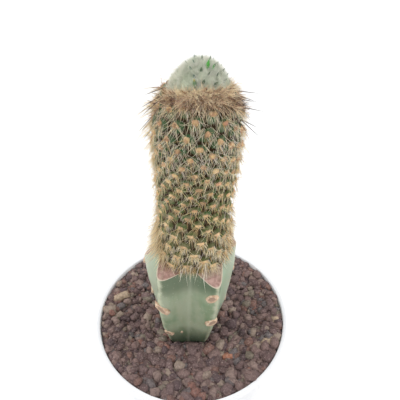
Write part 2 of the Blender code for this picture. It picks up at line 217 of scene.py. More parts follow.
class WoolSettings(bpy.types.PropertyGroup):
    """Sizes and colours of the woolly tip"""
    radius: length_prop("Radius", "Of the dome of wool at its foot", 12.8 * MM)
    foot: length_prop("Foot", "Height of the dome's foot on the axis", 168.4 * MM)
    dome: length_prop("Dome", "Height of the dome over its foot", 12.3 * MM)
    lean: length_prop("Lean", "How far the dome's crown stands to +X", 1.0 * MM)
    hairs: count_prop("Hairs", "How many fine hairs make the fleece", 11000)
    leaves: count_prop("Leaves", "How many young leaves stand in the wool", 36)
    white: colour_prop("Wool", "The fleece", tint(250, 248, 236))
    shade: colour_prop("Wool Shade", "Greenish shade deep in the fleece", tint(204, 212, 190))
    leaf: colour_prop("Leaf", "The young leaves", tint(98, 116, 92))


class StageSettings(bpy.types.PropertyGroup):
    """The floor, the lights and the camera"""
    floor: colour_prop("Floor", "The plain pale floor", (0.93, 0.93, 0.93))
    lens: FloatProperty(
        name="Lens", description="Focal length for a 36 mm sensor", default=50.4, min=1.0,
        subtype="DISTANCE_CAMERA", unit="CAMERA",
    )
    camera: FloatVectorProperty(
        name="Camera", description="Where the camera stands",
        default=(5.94 * MM, -186.84 * MM, 379.5 * MM), size=3, subtype="XYZ", unit="LENGTH",
    )
    pitch: FloatProperty(
        name="Pitch", description="How far the camera looks down", default=math.radians(45),
        subtype="ANGLE", unit="ROTATION",
    )
    roll: FloatProperty(
        name="Roll", description="Turn of the camera about its own line of sight",
        default=math.radians(-0.8), subtype="ANGLE", unit="ROTATION",
    )


def mix(low, high, share):
    return low + (high - low) * share


def smoothstep(low, high, value):
    share = min(1.0, max(0.0, (value - low) / (high - low)))
    return share * share * (3 - 2 * share)


def draws_for(piece):
    """The random numbers of one piece, the same in every run."""
    return random.Random(SEEDS[piece])


# Where in the noise each part of a wandering direction is read.
WANDER_SHIFTS = (Vector((0.0, 0.0, 0.0)), Vector((31.4, 0.0, 0.0)), Vector((0.0, 47.2, 0.0)))


def wander(at):
    """A direction that changes slowly from place to place, the same in every run."""
    return Vector([noise.noise(at + shift) for shift in WANDER_SHIFTS])


def around(radius, angle, height):
    """A point at an angle measured from the viewer's side towards +X."""
    return Vector((radius * math.sin(angle), -radius * math.cos(angle), height))


def plant_stand():
    """The turn and place that set an upright plant piece on its leaning axis."""
    return Matrix.Translation(PLANT_FOOT) @ Matrix.Rotation(PLANT_LEAN, 4, "Y")


# Materials: each is put together node by node.

# Places of the colour sockets on a Mix node.
MIX_FIRST, MIX_SECOND, MIX_RESULT = 6, 7, 2


class Recipe:
    """A node material in the making. Each call adds one node and returns its output."""

    def __init__(self, name, roughness, **sockets):
        self.material = bpy.data.materials.new(name)
        self.material.use_nodes = True
        self.nodes = self.material.node_tree.nodes
        self.links = self.material.node_tree.links
        self.shader = self.nodes["Principled BSDF"]
        self.shader.inputs["Roughness"].default_value = roughness
        for socket, value in sockets.items():
            self.shader.inputs[socket.replace("_", " ")].default_value = value
        self.place = self.nodes.new("ShaderNodeTexCoord").outputs["Object"]

    def feed(self, socket, value):
        """Gives a socket another node's output, a colour or a number."""
        if isinstance(value, bpy.types.NodeSocket):
            self.links.new(value, socket)
        elif hasattr(value, "__len__"):
            socket.default_value = (*tuple(value)[:3], 1.0)
        else:
            socket.default_value = value

    def stretched(self, scale):
        """Object coordinates scaled unevenly, for a grain with a direction."""
        node = self.nodes.new("ShaderNodeMapping")
        node.inputs["Scale"].default_value = scale
        self.links.new(self.place, node.inputs["Vector"])
        return node.outputs["Vector"]

    def noise(self, per_metre, detail=3.0, vector=None):
        """A cloudy pattern from 0 to 1, with so many lumps to the metre."""
        node = self.nodes.new("ShaderNodeTexNoise")
        node.inputs["Scale"].default_value = per_metre
        node.inputs["Detail"].default_value = detail
        self.links.new(vector or self.place, node.inputs["Vector"])
        return node.outputs["Fac"]

    def cells(self, per_metre):
        """How far the nearest of many scattered points is."""
        node = self.nodes.new("ShaderNodeTexVoronoi")
        node.inputs["Scale"].default_value = per_metre
        self.links.new(self.place, node.inputs["Vector"])
        return node.outputs["Distance"]

    def attribute(self, name):
        """A number that the mesh's vertices carry."""
        node = self.nodes.new("ShaderNodeAttribute")
        node.attribute_name = name
        return node.outputs["Fac"]

    def axis(self, name):
        """One of the Object coordinates, in metres."""
        node = self.nodes.new("ShaderNodeSeparateXYZ")
        self.links.new(self.place, node.inputs["Vector"])
        return node.outputs[name]

    def between(self, value, low, high):
        """0 to 1 as a value goes from low to high."""
        node = self.nodes.new("ShaderNodeMapRange")
        node.interpolation_type = "SMOOTHSTEP"
        self.feed(node.inputs["Value"], value)
        node.inputs["From Min"].default_value = low
        node.inputs["From Max"].default_value = high
        return node.outputs["Result"]

    def math(self, operation, first, second):
        """One operation on two values."""
        node = self.nodes.new("ShaderNodeMath")
        node.operation = operation
        self.feed(node.inputs[0], first)
        self.feed(node.inputs[1], second)
        return node.outputs["Value"]

    def add(self, first, second):
        return self.math("ADD", first, second)

    def part(self, value, share):
        """A value times a number or another value."""
        return self.math("MULTIPLY", value, share)

    def blend(self, share, first, second, mode="MIX"):
        """The first colour, with a share of the second laid over it."""
        node = self.nodes.new("ShaderNodeMix")
        node.data_type = "RGBA"
        node.blend_type = mode
        self.feed(node.inputs["Factor"], share)
        self.feed(node.inputs[MIX_FIRST], first)
        self.feed(node.inputs[MIX_SECOND], second)
        return node.outputs[MIX_RESULT]

    def ramp(self, value, stops, steps=False):
        """Colours along a value: (place, colour) pairs, blended or in steps."""
        node = self.nodes.new("ShaderNodeValToRGB")
        node.color_ramp.interpolation = "CONSTANT" if steps else "LINEAR"
        self.links.new(value, node.inputs["Fac"])
        points = node.color_ramp.elements
        while len(points) < len(stops):
            points.new(0.5)
        for point, (place, colour) in zip(points, stops):
            point.position = place
            point.color = (*tuple(colour)[:3], 1.0)
        return node.outputs["Color"]

    def bump(self, height, distance, strength=1.0):
        """Gives the surface a fine relief, too low to be modelled."""
        node = self.nodes.new("ShaderNodeBump")
        node.inputs["Strength"].default_value = strength
        node.inputs["Distance"].default_value = distance
        self.links.new(height, node.inputs["Height"])
        self.links.new(node.outputs["Normal"], self.shader.inputs["Normal"])

    def colour(self, output):
        """Gives the shader its colour."""
        self.links.new(output, self.shader.inputs["Base Color"])

    def roughen(self, value, low, high):
        """Lets roughness vary from low to high with a value."""
        node = self.nodes.new("ShaderNodeMapRange")
        self.links.new(value, node.inputs["Value"])
        node.inputs["To Min"].default_value = low
        node.inputs["To Max"].default_value = high
        self.links.new(node.outputs["Result"], self.shader.inputs["Roughness"])


def pot_plastic(pot):
    """White moulded plastic: a fine moulding texture, and dust where the mix meets it."""
    recipe = Recipe("pot_plastic", 0.32, Coat_Weight=0.15, Coat_Roughness=0.25)
    clouds = recipe.noise(38, 4)
    clean = recipe.blend(recipe.between(clouds, 0.35, 0.75), pot.colour, tint(236, 238, 242))
    height = recipe.axis("Z")
    # Painted shade: the top of the lip is greyed so that it shows darker than the pot's side
    # below it.
    rim_top_shade = recipe.part(recipe.between(height, 95.3 * MM, 95.9 * MM), 0.85)
    clean = recipe.blend(rim_top_shade, clean, tint(230, 231, 234))
    near_mix = recipe.between(height, 95.6 * MM, 90 * MM)
    smears = recipe.between(recipe.noise(420, 5), 0.42, 0.7)
    dust = recipe.part(recipe.part(near_mix, smears), recipe.attribute("inside"))
    recipe.colour(recipe.blend(dust, clean, tint(150, 132, 120)))
    recipe.roughen(recipe.noise(900, 2), 0.26, 0.42)
    recipe.bump(recipe.noise(1400, 2), 0.02 * MM, 0.4)
    return recipe.material


def damp_earth(mixture):
    """The fines between the stones, dark and crumbly."""
    recipe = Recipe("damp_earth", 0.95)
    grains = recipe.noise(1400, 6)
    crumbs = recipe.between(grains, 0.35, 0.65)
    recipe.colour(recipe.blend(crumbs, mixture.earth, tint(98, 78, 74)))
    recipe.roughen(grains, 0.85, 1.0)
    recipe.bump(grains, 0.5 * MM)
    return recipe.material


# Colours of the stones, each with the tone that it starts at.
STONE_TONES = (
    (0.0, tint(106, 84, 82)),
    (0.17, tint(130, 106, 101)),
    (0.36, tint(118, 96, 94)),
    (0.50, tint(92, 74, 76)),
    (0.60, tint(144, 122, 114)),
    (0.70, tint(112, 104, 104)),
    (0.77, tint(130, 98, 88)),
    (0.84, tint(126, 116, 102)),
    (0.89, tint(158, 140, 126)),
    (0.94, tint(144, 102, 90)),
    (0.962, tint(184, 162, 138)),
    (0.985, tint(172, 118, 94)),
)


def crushed_stone():
    """Lava grit and pebbles: each stone has its own tone, with pores and pale dust, and
    those in front are darker."""
    recipe = Recipe("crushed_stone", 0.9)
    body = recipe.ramp(recipe.attribute("tone"), STONE_TONES, steps=True)
    mottle = recipe.noise(700, 5)
    dark = recipe.blend(recipe.between(mottle, 0.62, 0.3), body, tint(96, 76, 78), "MULTIPLY")
    shaded = recipe.blend(0.5, body, dark)
    dust = recipe.between(recipe.noise(1500, 3), 0.52, 0.8)
    body = recipe.blend(dust, shaded, tint(170, 152, 146))
    in_front = recipe.part(recipe.between(recipe.axis("Y"), -20 * MM, -50 * MM), 0.3)
    recipe.colour(recipe.blend(in_front, body, tint(80, 66, 66)))
    pores = recipe.between(recipe.cells(1500), 0.0, 0.35)
    recipe.roughen(mottle, 0.75, 1.0)
    recipe.bump(recipe.add(pores, mottle), 0.25 * MM, 0.8)
    return recipe.material


def stock_skin(stock):
    """Waxy grey-green skin: bloom, thin green streaks, pale crests and a darker foot, with
    painted light on the sides and painted shade under the cut in front.
    """
    recipe = Recipe("stock_skin", 0.5, Subsurface_Weight=0.12, Subsurface_Scale=2 * MM)
    clouds = recipe.noise(70, 5)
    streaks = recipe.noise(160, 4, recipe.stretched((1.0, 1.0, 0.2)))
    bloomed = recipe.between(recipe.add(clouds, streaks), 0.7, 1.25)
    skin = recipe.blend(bloomed, stock.green, stock.bloom)
    foot = recipe.between(recipe.axis("Z"), 112 * MM, 91 * MM)
    skin = recipe.blend(recipe.part(foot, 0.9), skin, tint(52, 70, 50))
    uneven_height = recipe.add(recipe.axis("Z"), recipe.part(recipe.noise(120, 3), 4 * MM))
    # Painted light: the sides and back are paled, as if lit from the sides, and the front is
    # left darker.
    painted_side_light = recipe.between(recipe.axis("Y"), -15 * MM, -3 * MM)
    skin = recipe.blend(recipe.part(painted_side_light, 0.42), skin, tint(208, 212, 194))
    flank = recipe.part(recipe.between(recipe.attribute("valley"), 0.25, 0.85), 0.4)
    aside = recipe.between(recipe.axis("Y"), -14 * MM, -8 * MM)
    skin = recipe.blend(recipe.part(flank, aside), skin, tint(128, 162, 126))
    # Painted shade: a dark green band in front, just under the cut, where the column above
    # shades the stem.
    shoulder = recipe.between(uneven_height, 142 * MM, 153 * MM)
    shade_under_column = recipe.part(shoulder, recipe.between(recipe.axis("Y"), -5 * MM, -12 * MM))
    skin = recipe.blend(recipe.part(shade_under_column, 0.68), skin, tint(60, 82, 54))
    furrow = recipe.between(recipe.attribute("valley"), 0.84, 1.0)
    skin = recipe.blend(recipe.part(furrow, 0.2), skin, tint(186, 192, 170))
    worn = recipe.add(recipe.attribute("crest"), recipe.part(recipe.noise(300, 4), 0.3))
    skin = recipe.blend(recipe.between(worn, 1.0, 1.18), skin, stock.crest)
    specks = recipe.between(recipe.cells(420), 0.16, 0.08)
    skin = recipe.blend(recipe.part(specks, 0.3), skin, tint(206, 208, 190))
    recipe.colour(skin)
    recipe.roughen(clouds, 0.42, 0.62)
    recipe.bump(recipe.add(recipe.noise(1200, 3), recipe.noise(260, 3)), 0.12 * MM, 0.5)
    return recipe.material


def dried_flesh(stock):
    """The knife cut healed to a wrinkled pinkish skin, with a painted highlight on its edge."""
    recipe = Recipe("dried_flesh", 0.7)
    wrinkles = recipe.noise(520, 6)
    flesh = recipe.blend(recipe.between(wrinkles, 0.35, 0.65), tint(150, 116, 106), stock.flesh)
    blotches = recipe.between(recipe.noise(170, 3), 0.48, 0.7)
    flesh = recipe.blend(recipe.part(blotches, 0.55), flesh, tint(162, 154, 128))
    # Painted highlight: a pale band where the cut rounds over into the side.
    edge = recipe.between(recipe.attribute("below_cut"), 1.0 * MM, 0.2 * MM)
    recipe.colour(recipe.blend(recipe.part(edge, 0.85), flesh, tint(216, 206, 184)))
    recipe.roughen(wrinkles, 0.55, 0.85)
    recipe.bump(wrinkles, 0.5 * MM)
    return recipe.material


def cork():
    """Old spine scars: tan corky rims round a darker hollow."""
    recipe = Recipe("cork", 0.8)
    grain = recipe.noise(900, 5)
    rim = recipe.blend(recipe.between(grain, 0.3, 0.7), tint(192, 156, 130), tint(222, 200, 172))
    recipe.colour(recipe.blend(recipe.attribute("hollow"), rim, tint(164, 138, 118)))
    recipe.roughen(grain, 0.7, 0.95)
    recipe.bump(grain, 0.3 * MM)
    return recipe.material


def tubercle_skin(scion):
    """Green tubercles, painted darkest in the grooves as shade, with a greyish bloom on their
    backs.
    """
    recipe = Recipe("tubercle_skin", 0.55, Specular_IOR_Level=0.2)
    patches = recipe.noise(140, 4)
    skin = recipe.blend(recipe.between(patches, 0.52, 0.66), scion.skin, tint(74, 106, 66))
    grey = recipe.between(recipe.noise(420, 3), 0.42, 0.62)
    lower = recipe.between(recipe.axis("Z"), 240 * MM, 212 * MM)
    skin = recipe.blend(recipe.part(grey, 0.8), skin, tint(134, 130, 98))
    skin = recipe.blend(lower, recipe.blend(0.65, skin, tint(44, 82, 56)), skin)
    foot = recipe.part(recipe.between(recipe.axis("Z"), 196 * MM, 176 * MM), 0.5)
    skin = recipe.blend(foot, skin, tint(90, 86, 54))
    # Painted shade: the grooves, which the tubercles above shade, turn dark brown.
    high = recipe.between(recipe.attribute("raised"), 0.1, 0.5)
    skin = recipe.blend(high, scion.groove_shade, skin)
    under_collar = recipe.between(recipe.axis("Z"), 252.5 * MM, 255 * MM)
    recipe.colour(recipe.blend(recipe.part(under_collar, 0.9), skin, tint(134, 104, 78)))
    recipe.roughen(patches, 0.4, 0.62)
    recipe.bump(recipe.noise(1800, 3), 0.08 * MM, 0.5)
    return recipe.material


def areole_felt(scion):
    """Short dense felt, orange-tan to cream, each areole with its own tone: a painted highlight
    on its upper face, painted light that makes it paler low down, and browner near the head."""
    recipe = Recipe("areole_felt", 1.0, Sheen_Weight=0.3, Sheen_Roughness=0.5)
    felt = recipe.ramp(recipe.attribute("tone"), (
        (0.0, tint(120, 74, 46)), (0.25, tint(204, 142, 98)), (0.46, scion.felt),
        (0.62, tint(244, 222, 164)), (0.78, tint(238, 194, 108)), (1.0, tint(230, 150, 132)),
    ))
    fibres = recipe.noise(2600, 4)
    ragged = recipe.blend(recipe.between(fibres, 0.58, 0.35), felt, tint(138, 92, 60))
    felt = recipe.blend(0.6, felt, ragged)
    # Painted highlight: the upper, outer face of each cushion is paled.
    lit = recipe.part(recipe.attribute("along"), 0.4)
    felt = recipe.blend(lit, felt, tint(246, 224, 176))
    # Painted light: cushions low on the column are paled against the shade that falls there.
    low = recipe.part(recipe.between(recipe.axis("Z"), 205 * MM, 185 * MM), 0.45)
    felt = recipe.blend(low, felt, tint(255, 226, 180))
    near_head = recipe.part(recipe.between(recipe.axis("Z"), 222 * MM, 246 * MM), 0.55)
    recipe.colour(recipe.blend(near_head, felt, recipe.blend(0.6, felt, tint(128, 84, 60))))
    recipe.roughen(fibres, 0.85, 1.0)
    recipe.bump(fibres, 0.25 * MM)
    return recipe.material


# Colours of each kind of spine along its tone, from 0 to 1.
PALE_TONES = (
    (0.0, tint(240, 204, 136)), (0.25, tint(242, 222, 164)), (0.5, tint(252, 242, 206)),
    (0.72, tint(240, 228, 220)), (0.8, tint(190, 162, 110)), (0.86, tint(98, 74, 44)),
    (1.0, tint(72, 54, 30)),
)
TAN_TONES = (
    (0.0, tint(236, 200, 132)), (0.4, tint(246, 222, 164)), (0.7, tint(216, 182, 126)),
    (0.85, tint(170, 132, 92)), (1.0, tint(118, 90, 68)),
)
SKIRT_TONES = (
    (0.0, tint(255, 248, 232)), (0.2, tint(246, 230, 184)), (0.5, tint(228, 196, 134)),
    (0.75, tint(196, 156, 98)), (0.86, tint(122, 90, 58)), (1.0, tint(96, 70, 46)),
)
DARK_TONES = (
    (0.0, tint(116, 90, 78)), (0.5, tint(92, 72, 68)), (1.0, tint(78, 62, 62)),
)
BROWN_TONES = (
    (0.0, tint(255, 240, 206)), (0.25, tint(236, 206, 166)), (0.48, tint(216, 184, 170)),
    (0.65, tint(186, 142, 100)), (0.82, tint(118, 86, 72)), (1.0, tint(84, 62, 54)),
)


def spine_horn(name, tones, tip, tip_from, tip_share, roughness=0.45, sunlit=0.8):
    """Horny spines: each has its own tone at the root and takes on some of the tip's.
    Sunlit says how far those on the window's side are paled."""
    recipe = Recipe(name, roughness)
    tone = recipe.attribute("tone")
    root = recipe.ramp(tone, tones)
    along = recipe.between(recipe.attribute("along"), tip_from, 1.0)
    grain = recipe.noise(2200, 2)
    banded = recipe.blend(recipe.between(grain, 0.55, 0.75), root, tint(120, 92, 70))
    along = recipe.part(recipe.part(along, tip_share), recipe.between(tone, 0.95, 0.8))
    horn = recipe.blend(along, recipe.blend(0.35, root, banded), tip)
    sunny = recipe.part(recipe.between(recipe.axis("X"), -8 * MM, -18 * MM), sunlit)
    recipe.colour(recipe.blend(sunny, horn, recipe.blend(0.8, horn, tint(255, 236, 192))))
    recipe.roughen(tone, roughness - 0.1, roughness + 0.1)
    recipe.bump(grain, 0.03 * MM, 0.5)
    return recipe.material


def fleece(wool):
    """Wool hairs: greenish and shaded at the root, whitish at the tip."""
    recipe = Recipe("fleece", 0.9, Sheen_Weight=0.3, Sheen_Roughness=0.6)
    tone = recipe.attribute("tone")
    tip = recipe.blend(recipe.between(tone, 0.3, 0.9), wool.white, wool.shade)
    sunny = recipe.part(recipe.between(recipe.axis("X"), 6 * MM, -12 * MM), 0.5)
    tip = recipe.blend(sunny, tip, tint(255, 246, 228))
    along = recipe.between(recipe.attribute("along"), 0.0, 0.8)
    recipe.colour(recipe.blend(along, wool.shade, tip))
    recipe.roughen(tone, 0.8, 1.0)
    recipe.bump(recipe.noise(3000, 2), 0.05 * MM, 0.5)
    return recipe.material


def leaf_green(wool):
    """Young leaves: dark green, brighter or brownish on a few, paler at the root."""
    recipe = Recipe("leaf_green", 0.4, Subsurface_Weight=0.1, Subsurface_Scale=1 * MM)
    tone = recipe.attribute("tone")
    along = recipe.attribute("along")
    leaf = recipe.ramp(tone, (
        (0.0, wool.leaf), (0.35, tint(104, 122, 98)), (0.6, tint(82, 108, 92)),
        (0.8, tint(72, 156, 58)), (0.87, tint(116, 88, 74)), (0.92, tint(90, 126, 88)),
    ), steps=True)
    leaf = recipe.blend(recipe.between(along, 0.5, 0.0), leaf, tint(150, 168, 140))
    ripe = recipe.part(recipe.between(along, 0.6, 0.95), recipe.between(tone, 0.93, 0.95))
    recipe.colour(recipe.blend(ripe, leaf, tint(170, 156, 70)))
    recipe.roughen(tone, 0.35, 0.55)
    recipe.bump(recipe.noise(2500, 2), 0.05 * MM, 0.4)
    return recipe.material


# Meshes: helpers that several pieces share.

def finish_piece(name, bm, materials, replaced=()):
    """Makes the piece's object at the origin and ties it to the frame."""
    mesh = bpy.data.meshes.new(name)
    bm.to_mesh(mesh)
    bm.free()
    for material in materials:
        mesh.materials.append(material)
    mesh.shade_smooth()
    piece = bpy.data.objects.new(name, mesh)
    bpy.context.scene.collection.objects.link(piece)
    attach(piece, "root")
    if replaced:
        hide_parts(*replaced)


def repeated(bm, count):
    """Fills the bmesh with count copies of the one shape in it, by doubling. Returns
    the copies as lists of vertices in the shape's own order."""
    copies = [(list(bm.verts), list(bm.edges), list(bm.faces))]
    while len(copies) < count:
        taken = copies[:count - len(copies)]
        shapes = [item for copy in taken for kind in copy for item in kind]
        made = bmesh.ops.duplicate(bm, geom=shapes)
        twins = (made["vert_map"], made["edge_map"], made["face_map"])
        for copy in taken:
            copies.append([[twin[item] for item in kind] for twin, kind in zip(twins, copy)])
    return [verts for verts, _, _ in copies]


def put_in_order(bm):
    """Sorts edges and faces by place, because some operators leave them in any order."""
    def place(part):
        middle = sum((vert.co for vert in part.verts), Vector()) / len(part.verts)
        return tuple(round(value, 7) for value in middle)

    for parts in (bm.edges, bm.faces):
        for number, part in enumerate(sorted(parts, key=place)):
            part.index = number
        parts.sort()


def strand_shape(sides, joints):
    """One straight hair of unit length and unit root radius along Z, closed."""
    bm = bmesh.new()
    bmesh.ops.create_cone(
        bm, cap_ends=True, segments=sides, radius1=1, radius2=0, depth=1,
        matrix=Matrix.Translation((0, 0, 0.5)),
    )
    rising = [e for e in bm.edges if abs(e.verts[0].co.z - e.verts[1].co.z) > 0.5]
    if joints:
        bmesh.ops.subdivide_edges(bm, edges=rising, cuts=joints, use_grid_fill=True)
    bmesh.ops.recalc_face_normals(bm, faces=bm.faces)
    return bm


class Strand:
    """A hair's root, direction, length, radius, bend at its tip and tone."""

    def __init__(self, root, direction, length, radius, bend, tone):
        self.root = root
        self.direction = direction
        self.length = length
        self.radius = radius
        self.bend = bend
        self.tone = tone


def grow_strands(strands, sides=3, joints=2, fullness=0.0):
    """A bmesh of bent, tapering hairs. Fullness keeps them thick for longer."""
    bm = strand_shape(sides, joints)
    along = bm.verts.layers.float.new("along")
    tone = bm.verts.layers.float.new("tone")
    shape = [vert.co.copy() for vert in bm.verts]
    stand = plant_stand()
    for strand, verts in zip(strands, repeated(bm, len(strands))):
        side = strand.direction.orthogonal().normalized()
        other = strand.direction.cross(side)
        for vert, at in zip(verts, shape):
            share = at.z
            thick = strand.radius * (1 + fullness * share)
            centre = strand.root + strand.direction * (strand.length * share)
            centre += strand.bend * (share * share)
            vert.co = stand @ (centre + (side * at.x + other * at.y) * thick)
            vert[along] = share
            vert[tone] = strand.tone
    return bm


def paint(bm, name, value_of):
    """Stores a number on every vertex for the material to read."""
    layer = bm.verts.layers.float.get(name) or bm.verts.layers.float.new(name)
    for vert in bm.verts:
        vert[layer] = value_of(vert.co)


# The pot.

def pot_outline(pot):
    """Radius and height round the pot's wall, from the drain hole out and back in."""
    drain, underside, floor, fillet = 6 * MM, 2 * MM, 4 * MM, 1 * MM
    ring = pot.foot - 3.5 * MM
    neck = pot.height - pot.rim_depth
    floor_edge = mix(pot.foot, pot.neck, floor / neck) - pot.wall
    return [
        (drain, underside), (ring, underside), (ring, 0.0), (pot.foot, 0.0),
        (pot.neck, neck), (pot.rim_outer, neck + 0.7 * MM), (pot.rim_outer, pot.height),
        (pot.rim_inner, pot.height), (pot.neck - pot.wall, neck),
        (floor_edge, floor + fillet), (floor_edge - fillet, floor), (drain, floor),
    ]


def spun(outline, steps):
    """A closed body of revolution from a closed outline."""
    bm = bmesh.new()
    ring = [bm.verts.new((radius, 0, height)) for radius, height in outline]
    edges = [bm.edges.new((a, b)) for a, b in zip(ring, ring[1:] + ring[:1])]
    bmesh.ops.spin(
        bm, geom=ring + edges, cent=(0, 0, 0), axis=(0, 0, 1), angle=math.tau, steps=steps,
        use_merge=True,
    )
    bmesh.ops.recalc_face_normals(bm, faces=bm.faces)
    put_in_order(bm)
    return bm


def shape_pot(pot):
    """The spun pot with its corners rounded, and its inner face marked for the dust."""
    bm = spun(pot_outline(pot), steps=144)
    corners = [e for e in bm.edges if e.calc_face_angle(0.0) > math.radians(20)]
    round_edges = [e for e in corners if abs(e.verts[0].co.z - e.verts[1].co.z) < 0.01 * MM]
    bmesh.ops.bevel(
        bm, geom=round_edges, offset=0.55 * MM, segments=3, profile=0.5, affect="EDGES",
        material=-1, clamp_overlap=True,
    )
    middle = (pot.rim_outer + pot.rim_inner) / 2
    neck = pot.height - pot.rim_depth

    def inside(at):
        wall = mix(pot.foot, pot.neck, at.z / neck) - pot.wall / 2
        return 1.0 if math.hypot(at.x, at.y) < min(wall, middle) and at.z > 3 * MM else 0.0

    paint(bm, "inside", inside)
    return bm


# The gritty mix.

def mix_surface(mixture, x, y):
    """Height of the mix's surface: uneven, and heaped along the wall."""
    swell = noise.noise(Vector((x, y, 0.0)) / (17 * MM)) * 0.9 * MM
    heap = mixture.heap * smoothstep(30 * MM, 53 * MM, math.hypot(x, y))
    return mixture.level + swell + heap


def shape_earth(mixture):
    """The packed mix under the loose stones: a closed plug with a rough top."""
    low, low_reach, top_reach, hole = 4.4 * MM, 37.0 * MM, 52.6 * MM, 0.2 * MM
    half_way = 50 * MM
    rings = 26
    top = [(top_reach * k / rings, mixture.level) for k in range(rings, 0, -1)]
    bm = spun([(hole, low), (low_reach, low), *top, (hole, mixture.level)], steps=96)
    for vert in bm.verts:
        if vert.co.z > mixture.level - 0.1 * MM:
            rough = noise.noise(vert.co / (2.5 * MM)) * 0.5 * MM
            vert.co.z = mix_surface(mixture, vert.co.x, vert.co.y) + rough - 0.5 * MM
    # The pinhole left on the axis is closed at the top and at the bottom.
    for above in (True, False):
        hub = [
            vert for vert in bm.verts
            if math.hypot(vert.co.x, vert.co.y) < 2 * hole and (vert.co.z > half_way) == above
        ]
        middle = sum((vert.co for vert in hub), Vector()) / len(hub)
        bmesh.ops.pointmerge(bm, verts=hub, merge_co=middle)
    return bm


def stone_shape():
    """A cube of twenty-four faces, rounded off: the start of every stone."""
    bm = bmesh.new()
    bmesh.ops.create_cube(bm, size=2)
    bmesh.ops.subdivide_edges(bm, edges=list(bm.edges), cuts=1, use_grid_fill=True)
    for vert in bm.verts:
        vert.co = vert.co.lerp(vert.co.normalized() * 1.15, 0.64)
    return bm


class Stone:
    """Where a stone lies, its size and tone, how flat and long it is, and its turn."""

    def __init__(self, centre, radius, tone, flat, turn, length):
        self.centre = centre
        self.radius = radius
        self.tone = tone
        self.flat = flat
        self.turn = turn
        self.length = length


def picked_stones(mixture):
    """The few stones that stand out: x, y and radius in mm, tone, flatness, turn, length."""
    rows = (
        (-43.6, 15.9, 3.1, 0.97, 0.6, 0.35, 1.7), (-49.6, 5.9, 3.0, 0.91, 0.6, 0.1, 1.3),
        (-44.2, 2.6, 2.4, 0.90, 0.6, 0.6, 1.3), (-27.5, 16.0, 2.6, 0.86, 0.8, 0.2, 1.2),
        (-26.6, 2.9, 2.7, 0.92, 0.7, 1.1, 1.2), (20.5, -24.4, 2.3, 0.99, 0.7, 0.1, 1.3),
        (16.1, -23.5, 1.9, 0.91, 0.8, 0.4, 1.1), (36.8, -19.7, 2.9, 0.90, 0.7, 0.2, 1.3),
        (44.6, -16.6, 2.6, 0.965, 0.6, 0.3, 1.4), (49.4, -3.0, 2.2, 0.975, 0.8, 0.0, 1.0),
        (23.6, -2.9, 3.2, 0.55, 0.9, 0.0, 1.0), (30.2, -16.3, 2.7, 0.72, 0.8, 0.9, 1.2),
        (31.7, -34.8, 1.9, 0.99, 0.8, 0.5, 1.3), (-14.5, -43.1, 2.5, 0.93, 0.8, 0.5, 1.1),
        (-6.7, -45.0, 2.3, 0.85, 0.9, 0.2, 1.0),
    )
    stones = []
    for x, y, radius, tone, flat, turn, length in rows:
        height = mix_surface(mixture, x * MM, y * MM) + 0.3 * radius * MM
        centre = Vector((x * MM, y * MM, height))
        stones.append(Stone(centre, radius * MM, tone, flat, turn, length))
    return stones


def strewn_stones(mixture, stock, rng):
    """The picked stones, and the common ones spread from the stem to the wall. These
    stop short of the last two tones, which are kept for the picked ones."""
    common_tones = 0.958
    stones = picked_stones(mixture)
    taken = [(stone.centre, stone.radius) for stone in stones]
    reach_in, reach_out = 12 * MM, 53.3 * MM
    for k in range(mixture.stones):
        share = (k + 0.5) / mixture.stones
        radius = mix(mixture.small, mixture.large, rng.random() ** 2.0)
        reach = math.sqrt(mix(reach_in ** 2, reach_out ** 2, share))
        reach = min(reach + rng.uniform(-0.6, 0.6) * MM, reach_out - radius)
        angle = k * GOLDEN_ANGLE + rng.uniform(-0.015, 0.015)
        centre = around(reach, angle, 0.0)
        radius *= mix(1.0, 1.3, smoothstep(5 * MM, -40 * MM, centre.y))
        sunk = rng.uniform(-0.5, 0.8) * radius
        tone = rng.random() * common_tones
        flat = rng.uniform(0.6, 0.95)
        turn = rng.uniform(0, math.tau)
        centre.z = mix_surface(mixture, centre.x, centre.y) + sunk
        from_stem = centre - PLANT_FOOT
        stem_angle = math.atan2(from_stem.x, -from_stem.y)
        stem = stock_reach(stock, stem_angle, 3 * MM) + 0.6 * radius
        if math.hypot(from_stem.x, from_stem.y) < stem:
            continue
        if any((centre - place).length < 0.8 * size for place, size in taken):
            continue
        stones.append(Stone(centre, radius, tone, flat, turn, rng.uniform(1.0, 1.4)))
    return stones


def shape_stones(mixture, stock):
    """Every stone, dented by noise, stretched, turned and tipped in its place."""
    rng = draws_for("stones")
    stones = strewn_stones(mixture, stock, rng)
    bm = stone_shape()
    tone = bm.verts.layers.float.new("tone")
    shape = [vert.co.copy() for vert in bm.verts]
    for stone, verts in zip(stones, repeated(bm, len(stones))):
        seed = Vector((rng.uniform(0, 90), rng.uniform(0, 90), rng.uniform(0, 90)))
        stretch = Matrix.Diagonal((stone.length, rng.uniform(0.8, 1.0), stone.flat))
        turn = Matrix.Rotation(stone.turn, 3, "Z")
        tip = Matrix.Rotation(rng.uniform(-0.5, 0.5), 3, "X")
        placing = turn @ tip @ stretch
        for vert, at in zip(verts, shape):
            dent = 1 + 0.42 * noise.noise(at * 1.3 + seed)
            vert.co = stone.centre + placing @ (at * dent * stone.radius)
            vert[tone] = stone.tone
    return bm


# The rootstock.

def off_crest(angle):
    """0 on a rib's crest to 1 in the furrow between two ribs."""
    return abs((angle - STOCK_TURN + RIB_PITCH) % RIB_PITCH - RIB_PITCH / 2) / (RIB_PITCH / 2)


def rib_angle(rib):
    return STOCK_TURN + (rib - 0.5) * RIB_PITCH


def rib_at(angle):
    """The number of the rib nearest to an angle."""
    return round((angle - STOCK_TURN) / RIB_PITCH + 0.5) % STOCK_RIBS


